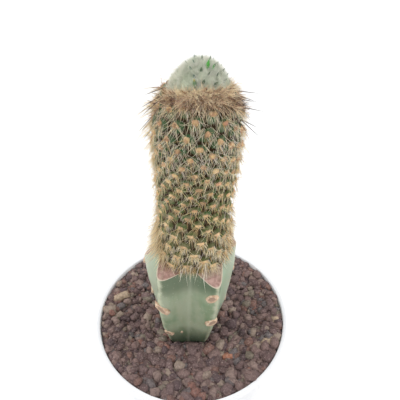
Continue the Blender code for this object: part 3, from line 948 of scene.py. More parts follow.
def stock_reach(stock, angle, height):
    """Radius of the ribbed stem at an angle round it and a height up it."""
    low, high = STOCK_SWELL
    left = 1 - min(1.0, max(0.0, (height - low) / (high - low)))
    swell = 1 - left * left
    crest = mix(stock.crest_foot, stock.crest_head + RIB_SPREAD[rib_at(angle)], swell)
    valley = mix(stock.valley_foot, stock.valley_head, swell)
    away = math.hypot(off_crest(angle), CREST_ROUND) - CREST_ROUND
    furthest = math.hypot(1.0, CREST_ROUND) - CREST_ROUND
    return mix(valley, crest, (1 - away / furthest) ** 2.5)


def cut_height(stock, angle, radius):
    """Height of the knife cut over a point of the head: the lowest of its strokes."""
    lowest = stock.height
    for rib, (crest_height, flat_top) in enumerate(zip(RIB_CUTS, FLAT_TOPS)):
        run = stock_reach(stock, rib_angle(rib), crest_height) - flat_top
        out = radius * math.cos(angle - rib_angle(rib)) - flat_top
        lowest = min(lowest, stock.height - out * (stock.height - crest_height) / run)
    return lowest


def rim_height(stock, angle):
    """Height at which the stem's side meets the knife cut, found by closing in on it."""
    height = stock.height
    for _ in range(12):
        height = cut_height(stock, angle, stock_reach(stock, angle, height))
    return height


def edges_between(ring):
    """The edges of a closed ring of vertices."""
    members = set(ring)
    return list(dict.fromkeys(
        edge for vert in ring for edge in vert.link_edges if set(edge.verts) <= members
    ))


def extrude_ring(bm, ring):
    """Extrudes a closed ring of vertices once, and returns the new ring in its order."""
    made = bmesh.ops.extrude_edge_only(bm, edges=edges_between(ring))["geom"]
    new = {item for item in made if isinstance(item, bmesh.types.BMVert)}
    partner = {}
    for vert in ring:
        for edge in vert.link_edges:
            other = edge.other_vert(vert)
            if other in new:
                partner[vert] = other
    return [partner[vert] for vert in ring]


def shape_rootstock(stock):
    """The ribbed stem, extruded ring by ring to the cut's rim, then in over the cut."""
    steps, levels, cut_rings = 200, 60, 14
    angles = [math.tau * k / steps for k in range(steps)]
    rims = [rim_height(stock, angle) for angle in angles]
    bm = bmesh.new()
    below_cut = bm.verts.layers.float.new("below_cut")
    crest = bm.verts.layers.float.new("crest")
    valley = bm.verts.layers.float.new("valley")

    def note(vert, angle, depth):
        vert[below_cut] = depth
        vert[crest] = 1 - off_crest(angle)
        vert[valley] = off_crest(angle)

    def side_point(angle, height):
        reach = stock_reach(stock, angle, height)
        rough = noise.noise(around(reach, angle, height) / (9 * MM)) * 0.35 * MM
        return around(reach + rough, angle, height)

    bottom = bmesh.ops.create_circle(bm, cap_ends=False, segments=steps, radius=1)["verts"]
    for vert, angle in zip(bottom, angles):
        vert.co = side_point(angle, -STOCK_BURIED)
        note(vert, angle, 1.0)
    ring = bottom
    for level in range(1, levels + 1):
        ring = extrude_ring(bm, ring)
        share = (level / levels) ** 0.85
        for vert, angle, rim in zip(ring, angles, rims):
            height = mix(-STOCK_BURIED, rim, share)
            vert.co = side_point(angle, height)
            note(vert, angle, rim - height)
    side_faces = len(bm.faces)
    rim_points = [vert.co.copy() for vert in ring]
    for inward in range(1, cut_rings + 1):
        ring = extrude_ring(bm, ring)
        share = (inward / cut_rings) ** 1.15
        for vert, angle, rim_point in zip(ring, angles, rim_points):
            reach = math.hypot(rim_point.x, rim_point.y)
            radius = mix(reach, 2 * MM, share)
            sag = 0.7 * MM * smoothstep(0.0, 2.2 * MM, reach - radius)
            crease = noise.noise(around(radius, angle, 0) / (3.2 * MM)) * 0.5 * MM
            fold = crease * smoothstep(0.3 * MM, 1.5 * MM, reach - radius)
            vert.co = around(radius, angle, cut_height(stock, angle, radius) - sag + fold)
            note(vert, angle, reach - radius)
    bmesh.ops.contextual_create(bm, geom=edges_between(ring))
    bmesh.ops.contextual_create(bm, geom=edges_between(bottom))
    bm.faces.ensure_lookup_table()
    for face in bm.faces[side_faces:-1]:
        face.material_index = 1
    bmesh.ops.recalc_face_normals(bm, faces=bm.faces)
    put_in_order(bm)
    bm.transform(plant_stand())
    return bm


def scar_shape():
    """One oval scar: a raised rim round a hollow."""
    bm = bmesh.new()
    bmesh.ops.create_cone(bm, cap_ends=True, segments=14, radius1=1.05, radius2=0.9, depth=1.4)
    top = [face for face in bm.faces if face.normal.z > 0.9]
    for thickness, depth in ((0.16, 0.2), (0.12, 0.0), (0.12, -0.22), (0.24, -0.04)):
        bmesh.ops.inset_individual(bm, faces=top, thickness=thickness, depth=depth)
    return bm


def shape_scars(stock):
    """Corky scars on and beside the crests, each facing out and dented by noise."""
    thick, sunk = 1.1, 0.35 * MM
    step = math.radians(2)
    bm = scar_shape()
    hollow = bm.verts.layers.float.new("hollow")
    shape = [vert.co.copy() for vert in bm.verts]
    stand = plant_stand()
    for scar, verts in zip(SCARS, repeated(bm, len(SCARS))):
        rib, height, aside, wide, tall, roll = scar
        angle = rib_angle(rib) + math.radians(aside)
        height *= MM
        near = around(stock_reach(stock, angle - step, height), angle - step, height)
        far = around(stock_reach(stock, angle + step, height), angle + step, height)
        facing = (far - near).cross(UP).normalized()
        turn = facing.to_track_quat("Z", "Y").to_matrix()
        size = Matrix.Diagonal((wide, tall, thick)) * MM
        placing = turn @ Matrix.Rotation(roll, 3, "Z") @ size
        centre = around(stock_reach(stock, angle, height) - sunk, angle, height)
        seed = Vector((rib * 7.0, height / MM, 0))
        for vert, at in zip(verts, shape):
            dent = 1 + noise.noise(at * 1.7 + seed) * 0.3
            vert.co = stand @ (centre + placing @ (at * dent))
            inside = smoothstep(0.68, 0.5, math.hypot(at.x, at.y))
            vert[hollow] = inside if at.z > 0 else 0.0
    return bm


# The scion's column, its felt and its spines.

def column_radius(scion, height):
    """The column's radius between its tubercles, at a height."""
    radius = mix(scion.radius, scion.head_radius, smoothstep(*WIDENS_UP, height))
    radius += FOOT_FLARE * smoothstep(*WIDENS_DOWN, height)
    over = min(SHOULDER_END, max(0.0, (height - SHOULDER) / SHOULDER_DEPTH))
    return radius * math.sqrt(1 - over * over)


def areole_heights(scion):
    """Heights of the areoles' levels, from below the graft to well above the head."""
    height = FIRST_LEVEL
    heights = []
    step = 0.1 * MM
    while height < scion.top + 2 * FAR * scion.head_rise:
        heights.append(height)
        low = 1 - smoothstep(*LEVELS_CLOSE, height)
        high = smoothstep(*LEVELS_SPREAD, height)
        rise = scion.rise + (scion.low_rise - scion.rise) * low
        rise += (scion.head_rise - scion.rise) * high
        slope = (column_radius(scion, height + step) - column_radius(scion, height)) / step
        height += rise / math.hypot(1, slope)
    return heights


def cell_neighbours(level, strand):
    """The six places round a place of the double spiral, in order round it."""
    other = 1 - strand
    return (
        (level + NEAR, other), (level + FAR, other), (level + MIDDLE, strand),
        (level - NEAR, other), (level - FAR, other), (level - MIDDLE, strand),
    )


def lattice_cells(scion):
    """A bmesh of six-sided cells, one round each place of the double spiral, and the
    cells in the spiral's order."""
    heights = areole_heights(scion)

    def spot(place):
        level, strand = place
        turn = FIRST_TURN + level * LEVEL_TURN + strand * math.pi
        return around(column_radius(scion, heights[level]), turn, heights[level])

    places = [(level, strand) for level in range(FAR, len(heights) - FAR) for strand in (0, 1)]
    bm = bmesh.new()
    bmesh.ops.create_circle(bm, cap_ends=True, segments=6, radius=1)
    for place, verts in zip(places, repeated(bm, len(places))):
        ring = [spot(neighbour) for neighbour in cell_neighbours(*place)]
        for vert, one, next_one in zip(verts, ring, ring[1:] + ring[:1]):
            middle = (spot(place) + one + next_one) / 3
            angle = math.atan2(middle.x, -middle.y)
            vert.co = around(column_radius(scion, middle.z), angle, middle.z)
    bmesh.ops.remove_doubles(bm, verts=bm.verts, dist=0.01 * MM)
    bmesh.ops.recalc_face_normals(bm, faces=bm.faces)
    bm.normal_update()
    bm.faces.ensure_lookup_table()
    first = bm.faces[0]
    if first.normal.dot(first.calc_center_median() * Vector((1, 1, 0))) < 0:
        bmesh.ops.reverse_faces(bm, faces=bm.faces)
        bm.normal_update()
    return bm, list(bm.faces)


class Seat:
    """Where an areole sits: its centre, the way out, across and up, and its number."""

    def __init__(self, cell, number):
        self.out = cell.normal.copy()
        self.across = UP.cross(self.out).normalized()
        self.up = self.out.cross(self.across)
        self.centre = cell.calc_center_median() + self.out * SEAT_OUT + self.up * SEAT_UP
        self.height = self.centre.z
        self.number = number


def areole_seats(scion):
    """The seats of the areoles that show on the column. In front they go up to the wool,
    and at the sides and behind they stop lower."""
    bm, cells = lattice_cells(scion)
    seats = [Seat(cell, number) for number, cell in enumerate(cells)]
    bm.free()
    low, high, lower_behind = scion.base + 2.4 * MM, scion.top + 2.6 * MM, 4.4 * MM

    def shows(seat):
        return low < seat.height < high - lower_behind * smoothstep(-0.8, -0.4, seat.out.y)

    return [seat for seat in seats if shows(seat)]


def subdivided(bm, levels):
    """The bmesh after Subdivision Surface."""
    mesh = bpy.data.meshes.new("cage")
    bm.to_mesh(mesh)
    bm.free()
    cage = bpy.data.objects.new("cage", mesh)
    bpy.context.scene.collection.objects.link(cage)
    step = cage.modifiers.new("Smooth", "SUBSURF")
    step.levels = levels
    step.render_levels = levels
    graph = bpy.context.evaluated_depsgraph_get()
    finer = bmesh.new()
    finer.from_mesh(cage.evaluated_get(graph).to_mesh())
    bpy.data.objects.remove(cage, do_unlink=True)
    return finer


def trim_flat(bm, height, side):
    """Cuts the body level at a height, and closes it there."""
    made = bmesh.ops.bisect_plane(
        bm, geom=list(bm.verts) + list(bm.edges) + list(bm.faces), plane_co=(0, 0, height),
        plane_no=(0, 0, side), clear_outer=True, dist=0.001 * MM,
    )["geom_cut"]
    rim = [item for item in made if isinstance(item, bmesh.types.BMEdge)]
    bmesh.ops.holes_fill(bm, edges=rim)


def shape_column(scion):
    """Each cell raised in two steps to a rounded tubercle that points a little up."""
    bm, cells = lattice_cells(scion)
    # How far each step goes in from the cell's edge, out and up, in mm.
    for thickness, depth, lift in ((0.5, 1.0, 0.2), (0.85, 1.3, 0.9)):
        bmesh.ops.inset_individual(
            bm, faces=cells, thickness=thickness * MM, depth=depth * MM, use_even_offset=True,
        )
        for cell in cells:
            steep = math.hypot(cell.normal.x, cell.normal.y)
            bmesh.ops.translate(bm, verts=cell.verts, vec=Vector((0, 0, lift * MM * steep)))
    bm = subdivided(bm, 1)
    trim_flat(bm, scion.base, -1)
    trim_flat(bm, scion.top, 1)

    def raised(at):
        full_height = 2.2 * MM
        return (math.hypot(at.x, at.y) - column_radius(scion, at.z)) / full_height

    paint(bm, "raised", raised)
    bm.transform(plant_stand())
    return bm


def seat_age(seat, spans):
    """How young and how old an areole is, each from 0 to 1."""
    turns_young, turns_old = spans
    return smoothstep(*turns_young, seat.height), smoothstep(*turns_old, seat.height)


def aged(age, old, middle, young):
    """A value for an areole's age, from those for old, middle-aged and young ones."""
    youth, wear = age
    return mix(mix(middle, old, wear), young, youth)


def felt_tone(seat):
    """Each areole's own shade of felt."""
    return random.Random(seat.number).uniform(0.12, 1.0)


def shape_felt(scion):
    """A low oval cushion of felt on each seat: wider on old ones, taller on young ones."""
    rng = draws_for("cushions")
    under_hair = 167.5 * MM
    seats = [seat for seat in areole_seats(scion) if seat.height < under_hair]
    bm = bmesh.new()
    bmesh.ops.create_uvsphere(bm, u_segments=8, v_segments=6, radius=1)
    put_in_order(bm)
    tone = bm.verts.layers.float.new("tone")
    along = bm.verts.layers.float.new("along")
    shape = [vert.co.copy() for vert in bm.verts]
    stand = plant_stand()
    for seat, verts in zip(seats, repeated(bm, len(seats))):
        age = seat_age(seat, FELT_AGES)
        young, old = age
        own = mix(felt_tone(seat), 0.74, 0.6 * old)
        wide = rng.uniform(1.1, 1.6) * aged(age, 1.45, 1.0, 1.1) * MM
        tall = rng.uniform(0.5, 0.75) * mix(1.0, 2.3, young) * MM
        thick = rng.uniform(0.6, 0.9) * mix(1.0, 1.15, young) * MM
        seed = Vector((seat.number * 3.1, 0, 0))
        for vert, at in zip(verts, shape):
            lump = 1 + 0.5 * noise.noise(at * 1.8 + seed)
            flat = seat.across * at.x * wide + seat.up * at.y * tall
            droop = seat.up * (-0.25 * MM * max(0.0, at.z))
            vert.co = stand @ (seat.centre + (flat + seat.out * at.z * thick) * lump + droop)
            vert[tone] = min(1.0, max(0.0, own + rng.gauss(0.0, 0.24)))
            # Share of a painted highlight, highest on the cushion's upper, outer face.
            vert[along] = smoothstep(-0.4, 1.0, at.z * 0.5 + at.y * 0.6)
    return bm


def stray_by(rng, size):
    """A random way off a hair's course, to any side alike."""
    return Vector([rng.gauss(0, 1) for _ in range(3)]) * size


def fan_out(seat, turn, rise):
    """A direction from a seat: turned from straight down, and raised off the skin."""
    along = seat.across * math.sin(turn) - seat.up * math.cos(turn)
    return (along * math.cos(rise) + seat.out * math.sin(rise)).normalized()


def felt_fuzz(scion):
    """Short stiff hairs standing out of each felt cushion, some of them dark."""
    hair_radius, dark_share = 0.11 * MM, 0.15
    rng = draws_for("fuzz")
    strands = []
    for seat in areole_seats(scion):
        own = felt_tone(seat)
        age = seat_age(seat, FELT_AGES)
        young, old = age
        for _ in range(round(aged(age, 48, 30, 48))):
            turn = rng.uniform(0, math.tau)
            spread = rng.uniform(0.2, 1.4)
            flat = seat.across * math.cos(turn) * mix(1.0, 1.5, old)
            flat += seat.up * math.sin(turn) * mix(0.65, 1.0, young)
            root = seat.centre + flat * spread * MM + seat.out * mix(0.6, 0.0, spread) * MM
            direction = (seat.out + flat * spread * 0.8 - seat.up * 0.3).normalized()
            length = rng.uniform(0.4, 1.2) * aged(age, 1.5, 1.0, 1.5) * MM
            tone = min(1.0, max(0.0, own + rng.gauss(0.0, mix(0.2, 0.3, young))))
            if rng.random() < dark_share:
                tone = 0.0
            strands.append(Strand(root, direction, length, hair_radius, Vector(), tone))
    return strands


def room_below(stock, root, direction, length):
    """Shortens a hanging spine so that it ends on the knife cut and not inside it."""
    tip = root + direction * length
    angle = math.atan2(tip.x, -tip.y)
    radius = math.hypot(tip.x, tip.y)
    ground = cut_height(stock, angle, radius)
    if tip.z > ground or radius > stock_reach(stock, angle, ground):
        return length
    return max(1.2 * MM, 0.95 * length * (root.z - ground) / (root.z - tip.z))


def pale_bristles(scion, spines, stock):
    """Pale bristles that hang from each cushion over the next ones: most and thickest low
    down, short half way up, longest near the head, and a few that stray."""
    rng = draws_for("pale bristles")
    strands = []
    for seat in areole_seats(scion):
        age = seat_age(seat, BRISTLE_AGES)
        young, old = age
        at_collar = smoothstep(163 * MM, 167 * MM, seat.height)
        count = round(spines.bristles * aged(age, 1.9, 0.9, 1.25))
        reach = mix(2.8, 2.0, young)
        highest, lowest = -2.4 * max(young, 0.2 * old), aged(age, 2.2, 1.6, 0.8)
        for k in range(count):
            aside = mix(-reach, reach, (k + rng.random()) / count)
            down = rng.uniform(highest, lowest)
            if down < -0.6:
                aside += math.copysign(1.0, aside)
            turn = 0.09 * aside + rng.gauss(0.0, aged(age, 0.16, 0.3, 0.45))
            rise = rng.uniform(0.02, 0.3)
            length = rng.uniform(3.0, 5.0) * aged(age, 1.2, 0.62, 1.6) * MM
            radius = rng.uniform(0.07, 0.1) * aged(age, 1.8, 0.95, 1.05) * MM
            tone = mix(mix(rng.random(), 0.66, 0.6 * young), 0.6, 0.5 * old)
            if rng.random() < STRAY_SHARE:
                aside *= 0.5
                turn, rise = rng.gauss(0.0, 0.8), rng.uniform(0.2, 0.6)
                length, radius = rng.uniform(5.0, 8.0) * MM, 0.1 * MM
            length *= mix(1.0, 0.8, at_collar)
            direction = fan_out(seat, turn, rise)
            root = seat.centre + (seat.across * aside - seat.up * down) * MM
            root += seat.out * (0.2 - 0.17 * down * down - 0.15 * aside * aside) * MM
            length = room_below(stock, root, direction, length)
            bend = seat.out * rng.uniform(-0.12, 0.08) + seat.across * rng.uniform(-0.2, 0.2)
            strands.append(Strand(root, direction, length, radius, bend * length, tone))
    return strands


def skirt_bristles(scion, spines, stock):
    """Bristles that hang from the column's foot over the graft, densest at the sides."""
    on_tubercles, thick = 2.2 * MM, 0.19 * MM
    rng = draws_for("skirt")
    strands = []
    for k in range(spines.skirt):
        angle = (k * GOLDEN_ANGLE + math.pi) % math.tau - math.pi
        degrees = abs(math.degrees(angle))
        at_left = abs(math.degrees(angle) + 112) < 32
        aside = smoothstep(35, 75, degrees)
        behind = smoothstep(105, 150, degrees)
        height = scion.base + mix(2.0, 26.0, rng.random() ** mix(3.0, 1.5, aside)) * MM
        length = rng.uniform(4.5, 8.0) * mix(1.3, 0.75, 0.5 + 0.5 * math.sin(angle)) * MM
        radius = rng.uniform(0.1, 0.14) * MM
        fall = rng.uniform(0.7, 1.35)
        sweep = UP.cross(around(1.0, angle, 0.0)) * rng.gauss(0.0, 0.25)
        tone = rng.random() ** 0.7
        # Long pale ones at the left.
        if at_left and rng.random() < 0.38:
            height = scion.base + rng.uniform(1.0, 6.0) * MM
            length = rng.uniform(9.0, 13.0) * MM
            fall = rng.uniform(0.9, 1.15)
            tone *= 0.5
        # Short ones in front, and between them a few long thick ones.
        if degrees < 30 and rng.random() < 0.3:
            aside = 1.0
            height = scion.base + rng.uniform(1.0, 6.0) * MM
            length = rng.uniform(3.0, 5.0) * MM
        if degrees < 22 and aside < 1.0:
            length, radius = rng.uniform(7.0, 12.0) * MM, thick
            fall, tone = rng.uniform(1.0, 1.35), 0.0
            height = scion.base + rng.uniform(2.0, 8.0) * MM
        if rng.random() > (0.05 + 0.95 * aside) * (1 - 0.7 * behind):
            continue
        root = around(column_radius(scion, height) + on_tubercles, angle, height)
        out = around(math.cos(fall), angle, -math.sin(fall))
        direction = (out + sweep).normalized()
        length = room_below(stock, root, direction, length)
        bend = around(0.08 * length, angle, rng.uniform(-0.1, 0.1) * length)
        strands.append(Strand(root, direction, length, radius, bend, tone))
    return strands


def tan_spines(scion, spines, stock):
    """Golden-tan spines that stand off the column and droop: fewest in front of its upper
    half, and longest in a fringe at the upper left."""
    radius = 0.13 * MM
    rng = draws_for("tan spines")
    strands = []
    for seat in areole_seats(scion):
        head = smoothstep(150 * MM, 166 * MM, seat.height)
        fringe = smoothstep(140 * MM, 152 * MM, seat.height) * smoothstep(0.2, -0.8, seat.out.x)
        in_front = smoothstep(-0.3, -0.7, seat.out.y)
        bare = 0.75 * smoothstep(100 * MM, 128 * MM, seat.height) * in_front
        for _ in range(round(spines.spines * (1 - bare))):
            turn = rng.gauss(0.0, 0.9)
            rise = rng.uniform(0.2, 0.9) + 0.3 * head
            grown = mix(1.0, 2.1, fringe) * mix(1.0, 0.6, head * in_front)
            length = rng.uniform(3.2, 6.6) * grown * MM
            direction = fan_out(seat, turn, rise)
            root = seat.centre + (seat.across * rng.uniform(-1.4, 1.4) - seat.up * 0.3) * MM
            length = room_below(stock, root, direction, length)
            bend = seat.across * rng.uniform(-0.12, 0.12) - UP * rng.uniform(0.05, 0.3)
            tone = rng.random()
            strands.append(Strand(root, direction, length, radius, bend * length, tone))
    return strands


def collar_spines(scion, spines):
    """Tangled tan-brown spines round the head, some of them longer, with dark points.
    The collar reaches further down at the sides than in front."""
    rng = draws_for("collar spines")
    strands = []
    for seat in areole_seats(scion):
        aside = smoothstep(0.62, 0.92, abs(seat.out.x))
        starts, full = mix(167, 150, aside) * MM, mix(169, 163, aside) * MM
        ends = mix(170, mix(163, 169, 0.5 + 0.5 * seat.out.x), aside) * MM
        if seat.height > ends:
            continue
        share = smoothstep(starts, full, seat.height)
        for _ in range(round(spines.collar * share)):
            turn, rise = rng.uniform(-1.9, 1.9), rng.uniform(0.2, 0.95)
            length, radius = rng.uniform(3.0, 5.5) * mix(0.75, 1.0, aside) * MM, 0.11 * MM
            if rng.random() < mix(0.042, 0.14, aside):
                turn, rise = rng.uniform(-1.1, 1.1), rng.uniform(0.4, 0.8)
                length, radius = rng.uniform(6.0, 9.5) * MM, 0.15 * MM
            direction = fan_out(seat, turn, rise)
            root = seat.centre + seat.across * math.sin(turn) * 0.9 * MM
            bend = seat.across * rng.uniform(-0.1, 0.1) - UP * rng.uniform(-0.05, 0.1)
            tone = rng.random() * mix(1.0, 0.7, smoothstep(-0.4, -0.9, seat.out.x))
            strands.append(Strand(root, direction, length, radius, bend * length, tone))
    return strands


# The collar's longest spines: angle in degrees, height in mm, fall in degrees, and
# length in mm.
LONG_SPINES = (
    (-76, 167, 42, 14), (-86, 165, 34, 12), (-70, 162, 46, 14), (-92, 161, 40, 11),
    (-64, 158, 50, 12), (-80, 156, 50, 9), (-98, 167, 30, 11), (80, 170, 44, 11),
    (92, 167, 6, 12), (86, 166, 14, 10), (84, 161, 8, 11), (97, 162, 12, 8),
    (74, 157, 40, 12), (60, 161, 44, 10), (90, 153, 30, 8),
)


def long_spines(scion):
    """The collar's longest spines, dark and stiff, that stand out past all others."""
    on_tubercles, radius = 1.6 * MM, 0.22 * MM
    rng = draws_for("long spines")
    strands = []
    for angle, height, fall, length in LONG_SPINES:
        angle, fall = math.radians(angle), math.radians(fall)
        height *= MM
        root = around(column_radius(scion, height) + on_tubercles, angle, height)
        direction = around(math.cos(fall), angle, -math.sin(fall))
        bend = UP * rng.uniform(-0.6, 0.3) * MM
        tone = rng.uniform(0.1, 0.75)
        strands.append(Strand(root, direction, length * MM, radius, bend, tone))
    return strands


def collar_hairs(spines, wool):
    """Dense tan hair over the shoulder of the head and round the foot of the wool, in
    clumps of one tone, with some that hang down in front."""
    rng = draws_for("collar hairs")
    strands = []
    for k in range(spines.fleece):
        angle = k * GOLDEN_ANGLE
        out = around(1.0, angle, 0.0)
        front = max(0.0, -out.y)
        climb = rng.random() ** 0.7
        share = mix(mix(-0.95, -0.05, front ** 0.7), wool_edge(angle), climb)
        right = smoothstep(0.3, 0.9, out.x)
        inset = (mix(0.0, 1.2, climb) - 1.6 * right * (1 - climb)) * MM
        root, _ = dome_point(wool, share, angle, inset)
        swirl = wander(root / (3 * MM)) * 1.1
        lift = mix(-0.5, 0.2 + 0.8 * front, climb)
        stray = stray_by(rng, 0.7)
        direction = (out * mix(1.0, 0.5, climb) + UP * lift + swirl + stray).normalized()
        length = rng.uniform(2.4, 5.2) * MM * (1 - 0.45 * climb * (1 - max(front, out.x)))
        bend = Vector((rng.gauss(0, 1), rng.gauss(0, 1), rng.gauss(-0.3, 0.8))) * 0.32 * length
        clump = 1.7 * noise.noise(root / (1.5 * MM))
        tone = mix(0.9, -0.06, climb) + clump + rng.gauss(0.0, 0.33)
        tone = min(mix(1.0, 0.7, climb), max(0.0, tone))
        radius = rng.uniform(0.11, 0.19) * MM
        if climb < 0.3 and front > 0.4 and rng.random() < 0.35:
            direction = (out + swirl * 0.5 + stray - UP * rng.uniform(0.9, 1.8)).normalized()
            length, radius, tone = rng.uniform(4.0, 8.5) * MM, 0.15 * MM, rng.uniform(0.0, 0.4)
        strands.append(Strand(root, direction, length, radius, bend, tone))
    return strands


# The woolly tip.

# Leaves that stand out: the angle in radians, the share of the dome's height, the
# length and radius in mm, and the tone.
NAMED_LEAVES = (
    (-0.3, 0.53, 4.8, 0.95, 0.97), (0.7, 0.93, 5.0, 0.95, 0.85), (1.1, 0.85, 3.4, 0.6, 0.85),
    (0.2, 0.38, 3.6, 0.8, 0.89),
)


def wool_edge(angle):
    """Share of the dome's height where tan hair gives way to wool: highest in front, and
    under the dome's foot at the left and behind."""
    front = math.cos(angle)
    side = mix(-0.16, 0.12, 0.5 + 0.5 * math.sin(angle))
    return mix(side, 0.42, front) if front > 0 else mix(side, -0.25, -front)


def dome_point(wool, share, angle, inset):
    """A point an inset below the dome's surface, at a share of its height, and the way out."""
    reach = math.sqrt(max(0.0, 1 - share * abs(share) ** 0.3))
    surface = around(wool.radius * reach, angle, wool.foot + wool.dome * share)
    surface.x += wool.lean * share
    out = around(2 * wool.dome * reach / wool.radius, angle, 1.0).normalized()
    return surface - out * inset, out


def shape_wool_core(wool, scion):
    """The felted mass under the hairs: a lumpy dome, closed below."""
    depth_below = 6 * MM
    bm = bmesh.new()
    bmesh.ops.create_icosphere(bm, subdivisions=5, radius=1)
    for vert in bm.verts:
        angle = math.atan2(vert.co.x, -vert.co.y)
        share = vert.co.z * abs(vert.co.z)
        place, out = dome_point(wool, max(0.0, share), angle, 1.5 * MM)
        if share < 0:
            reach = math.sqrt(1 + share)
            height = place.z + share * depth_below
            place = around(math.hypot(place.x, place.y) * reach, angle, height)
        vert.co = place + out * noise.noise(place / (2.2 * MM)) * 0.6 * MM
    trim_flat(bm, scion.top - 1.5 * MM, -1)
    paint(bm, "along", lambda at: 0.2)
    paint(bm, "tone", lambda at: 0.4)
    bm.transform(plant_stand())
    return bm


def wool_hairs(wool):
    """Fine hairs combed up and out over the dome, in loose tufts."""
    root_depth, radius = 1.9 * MM, 0.08 * MM
    rng = draws_for("wool")
    strands = []
    for k in range(wool.hairs):
        share = mix(-0.3, 1.0, (k + 0.5) / wool.hairs)
        angle = k * GOLDEN_ANGLE
        if share < wool_edge(angle) - rng.uniform(0.0, 0.08):
            continue
        root, out = dome_point(wool, share, angle, root_depth)
        tuft = wander(root / (3 * MM)) * 0.8
        stray = stray_by(rng, 0.28)
        direction = (out + UP * 0.6 + tuft + stray).normalized()
        length = rng.uniform(2.0, 3.3) * MM
        bend = stray.cross(out) * 0.8 * length
        streak = noise.noise(Vector((5 * math.sin(angle), 5 * math.cos(angle), 2.5 * share)))
        tone = min(1.0, max(0.0, 0.5 + 1.6 * streak + rng.gauss(0.0, 0.25)))
        strands.append(Strand(root, direction, length, radius, bend, tone))
    return strands


def leaf_strands(wool):
    """Awl-shaped young leaves, most of them short points that just clear the wool. The
    dome's left side has none."""
    bare_left = -4.5 * MM
    rng = draws_for("leaves")
    strands = []
    for k in range(wool.leaves):
        share = mix(0.2, 0.98, ((k + 0.5) / wool.leaves) ** 0.9)
        angle = 0.9 + k * GOLDEN_ANGLE
        root, out = dome_point(wool, share, angle, 2.2 * MM)
        if share < wool_edge(angle) + 0.03 or root.x < bare_left:
            continue
        direction = (out + UP * rng.uniform(0.4, 0.9)).normalized()
        length = rng.uniform(2.6, 3.3) * MM
        radius = rng.uniform(0.48, 0.7) * MM
        tone = rng.uniform(0.0, 0.78)
        strands.append(Strand(root, direction, length, radius, out * 0.3 * MM, tone))
    for angle, share, length, radius, tone in NAMED_LEAVES:
        root, out = dome_point(wool, share, angle, 2.4 * MM)
        direction = (out * 0.6 + UP).normalized()
        strands.append(Strand(root, direction, length * MM, radius * MM, out * 0.3 * MM, tone))
    return strands


# The stage.

FLOOR_HALF = 4.0


def area_light(name, power, size, place, aim):
    """A square lamp of a power in watts, turned from its place to what it lights."""
    light = bpy.data.lights.new(name, "AREA")
    light.energy = power
    light.shape = "SQUARE"
    light.size = size
    lamp = bpy.data.objects.new(name, light)
    lamp.location = place
    lamp.rotation_euler = (Vector(aim) - Vector(place)).to_track_quat("-Z", "Y").to_euler()
    bpy.context.scene.collection.objects.link(lamp)


def pale_floor(stage):
    recipe = Recipe("pale_floor", 0.9)
    recipe.shader.inputs["Base Color"].default_value = (*stage.floor, 1.0)
    return recipe.material


def set_stage(stage):
    """A plain floor, an even sky and three soft lamps."""
    bm = bmesh.new()
    bmesh.ops.create_grid(bm, x_segments=1, y_segments=1, size=FLOOR_HALF)
    mesh = bpy.data.meshes.new("floor")
    bm.to_mesh(mesh)
    bm.free()
    mesh.materials.append(pale_floor(stage))
    floor = bpy.data.objects.new("floor", mesh)
    bpy.context.scene.collection.objects.link(floor)
    world = bpy.data.worlds.new("studio")
    world.use_nodes = True
    sky = world.node_tree.nodes["Background"]
    sky.inputs["Color"].default_value = (1.0, 1.0, 1.0, 1.0)
    sky.inputs["Strength"].default_value = 0.68
    bpy.context.scene.world = world
    middle = (0.0, 0.0, 0.15)
    area_light("window", power=9.5, size=1.2, place=(-0.95, 0.1, 0.95), aim=middle)
    area_light("fill", power=8.5, size=1.2, place=(0.95, 0.1, 0.95), aim=middle)
    area_light("front", power=2.5, size=1.0, place=(-0.15, -1.0, 1.0), aim=middle)


def set_camera(stage):
    """The photograph's own view, as fitted to the pot's rim."""
    data = bpy.data.cameras.new("camera")
    data.sensor_width = 36
    data.lens = stage.lens
    ahead = Vector((0, math.cos(stage.pitch), -math.sin(stage.pitch)))
    right = Vector((1, 0, 0))
    above = right.cross(ahead)
    side = right * math.cos(stage.roll) + above * math.sin(stage.roll)
    top = above * math.cos(stage.roll) - right * math.sin(stage.roll)
    turn = Matrix((side, top, -ahead)).transposed().to_4x4()
    camera = bpy.data.objects.new("camera", data)
    camera.matrix_world = Matrix.Translation(stage.camera) @ turn
    bpy.context.scene.collection.objects.link(camera)
    bpy.context.scene.camera = camera
    bpy.context.scene.view_settings.view_transform = "Standard"


# Operators.

class BuildPot(bpy.types.Operator):
    """Spin the pot and give it its plastic"""
    bl_idname = "cactus.build_pot"
    bl_label = "Build Pot"

    def execute(self, context):
        pot = context.scene.cactus_pot
        finish_piece("white_pot", shape_pot(pot), [pot_plastic(pot)], ["pot"])
        return {"FINISHED"}


class FillPot(bpy.types.Operator):
    """Fill the pot with earth and strew its stones"""
    bl_idname = "cactus.fill_pot"
    bl_label = "Fill Pot"

    def execute(self, context):
        mixture, stock = context.scene.cactus_mix, context.scene.cactus_stock
        finish_piece("earth", shape_earth(mixture), [damp_earth(mixture)], ["soil"])
        finish_piece("stones", shape_stones(mixture, stock), [crushed_stone()])
        return {"FINISHED"}


class BuildRootstock(bpy.types.Operator):
    """Build the ribbed rootstock, its knife cut and its scars"""
    bl_idname = "cactus.build_rootstock"
    bl_label = "Build Rootstock"

    def execute(self, context):
        stock = context.scene.cactus_stock
        finishes = [stock_skin(stock), dried_flesh(stock)]
        finish_piece("ribbed_stock", shape_rootstock(stock), finishes, ["rootstock"])
        finish_piece("rib_scars", shape_scars(stock), [cork()])
        return {"FINISHED"}


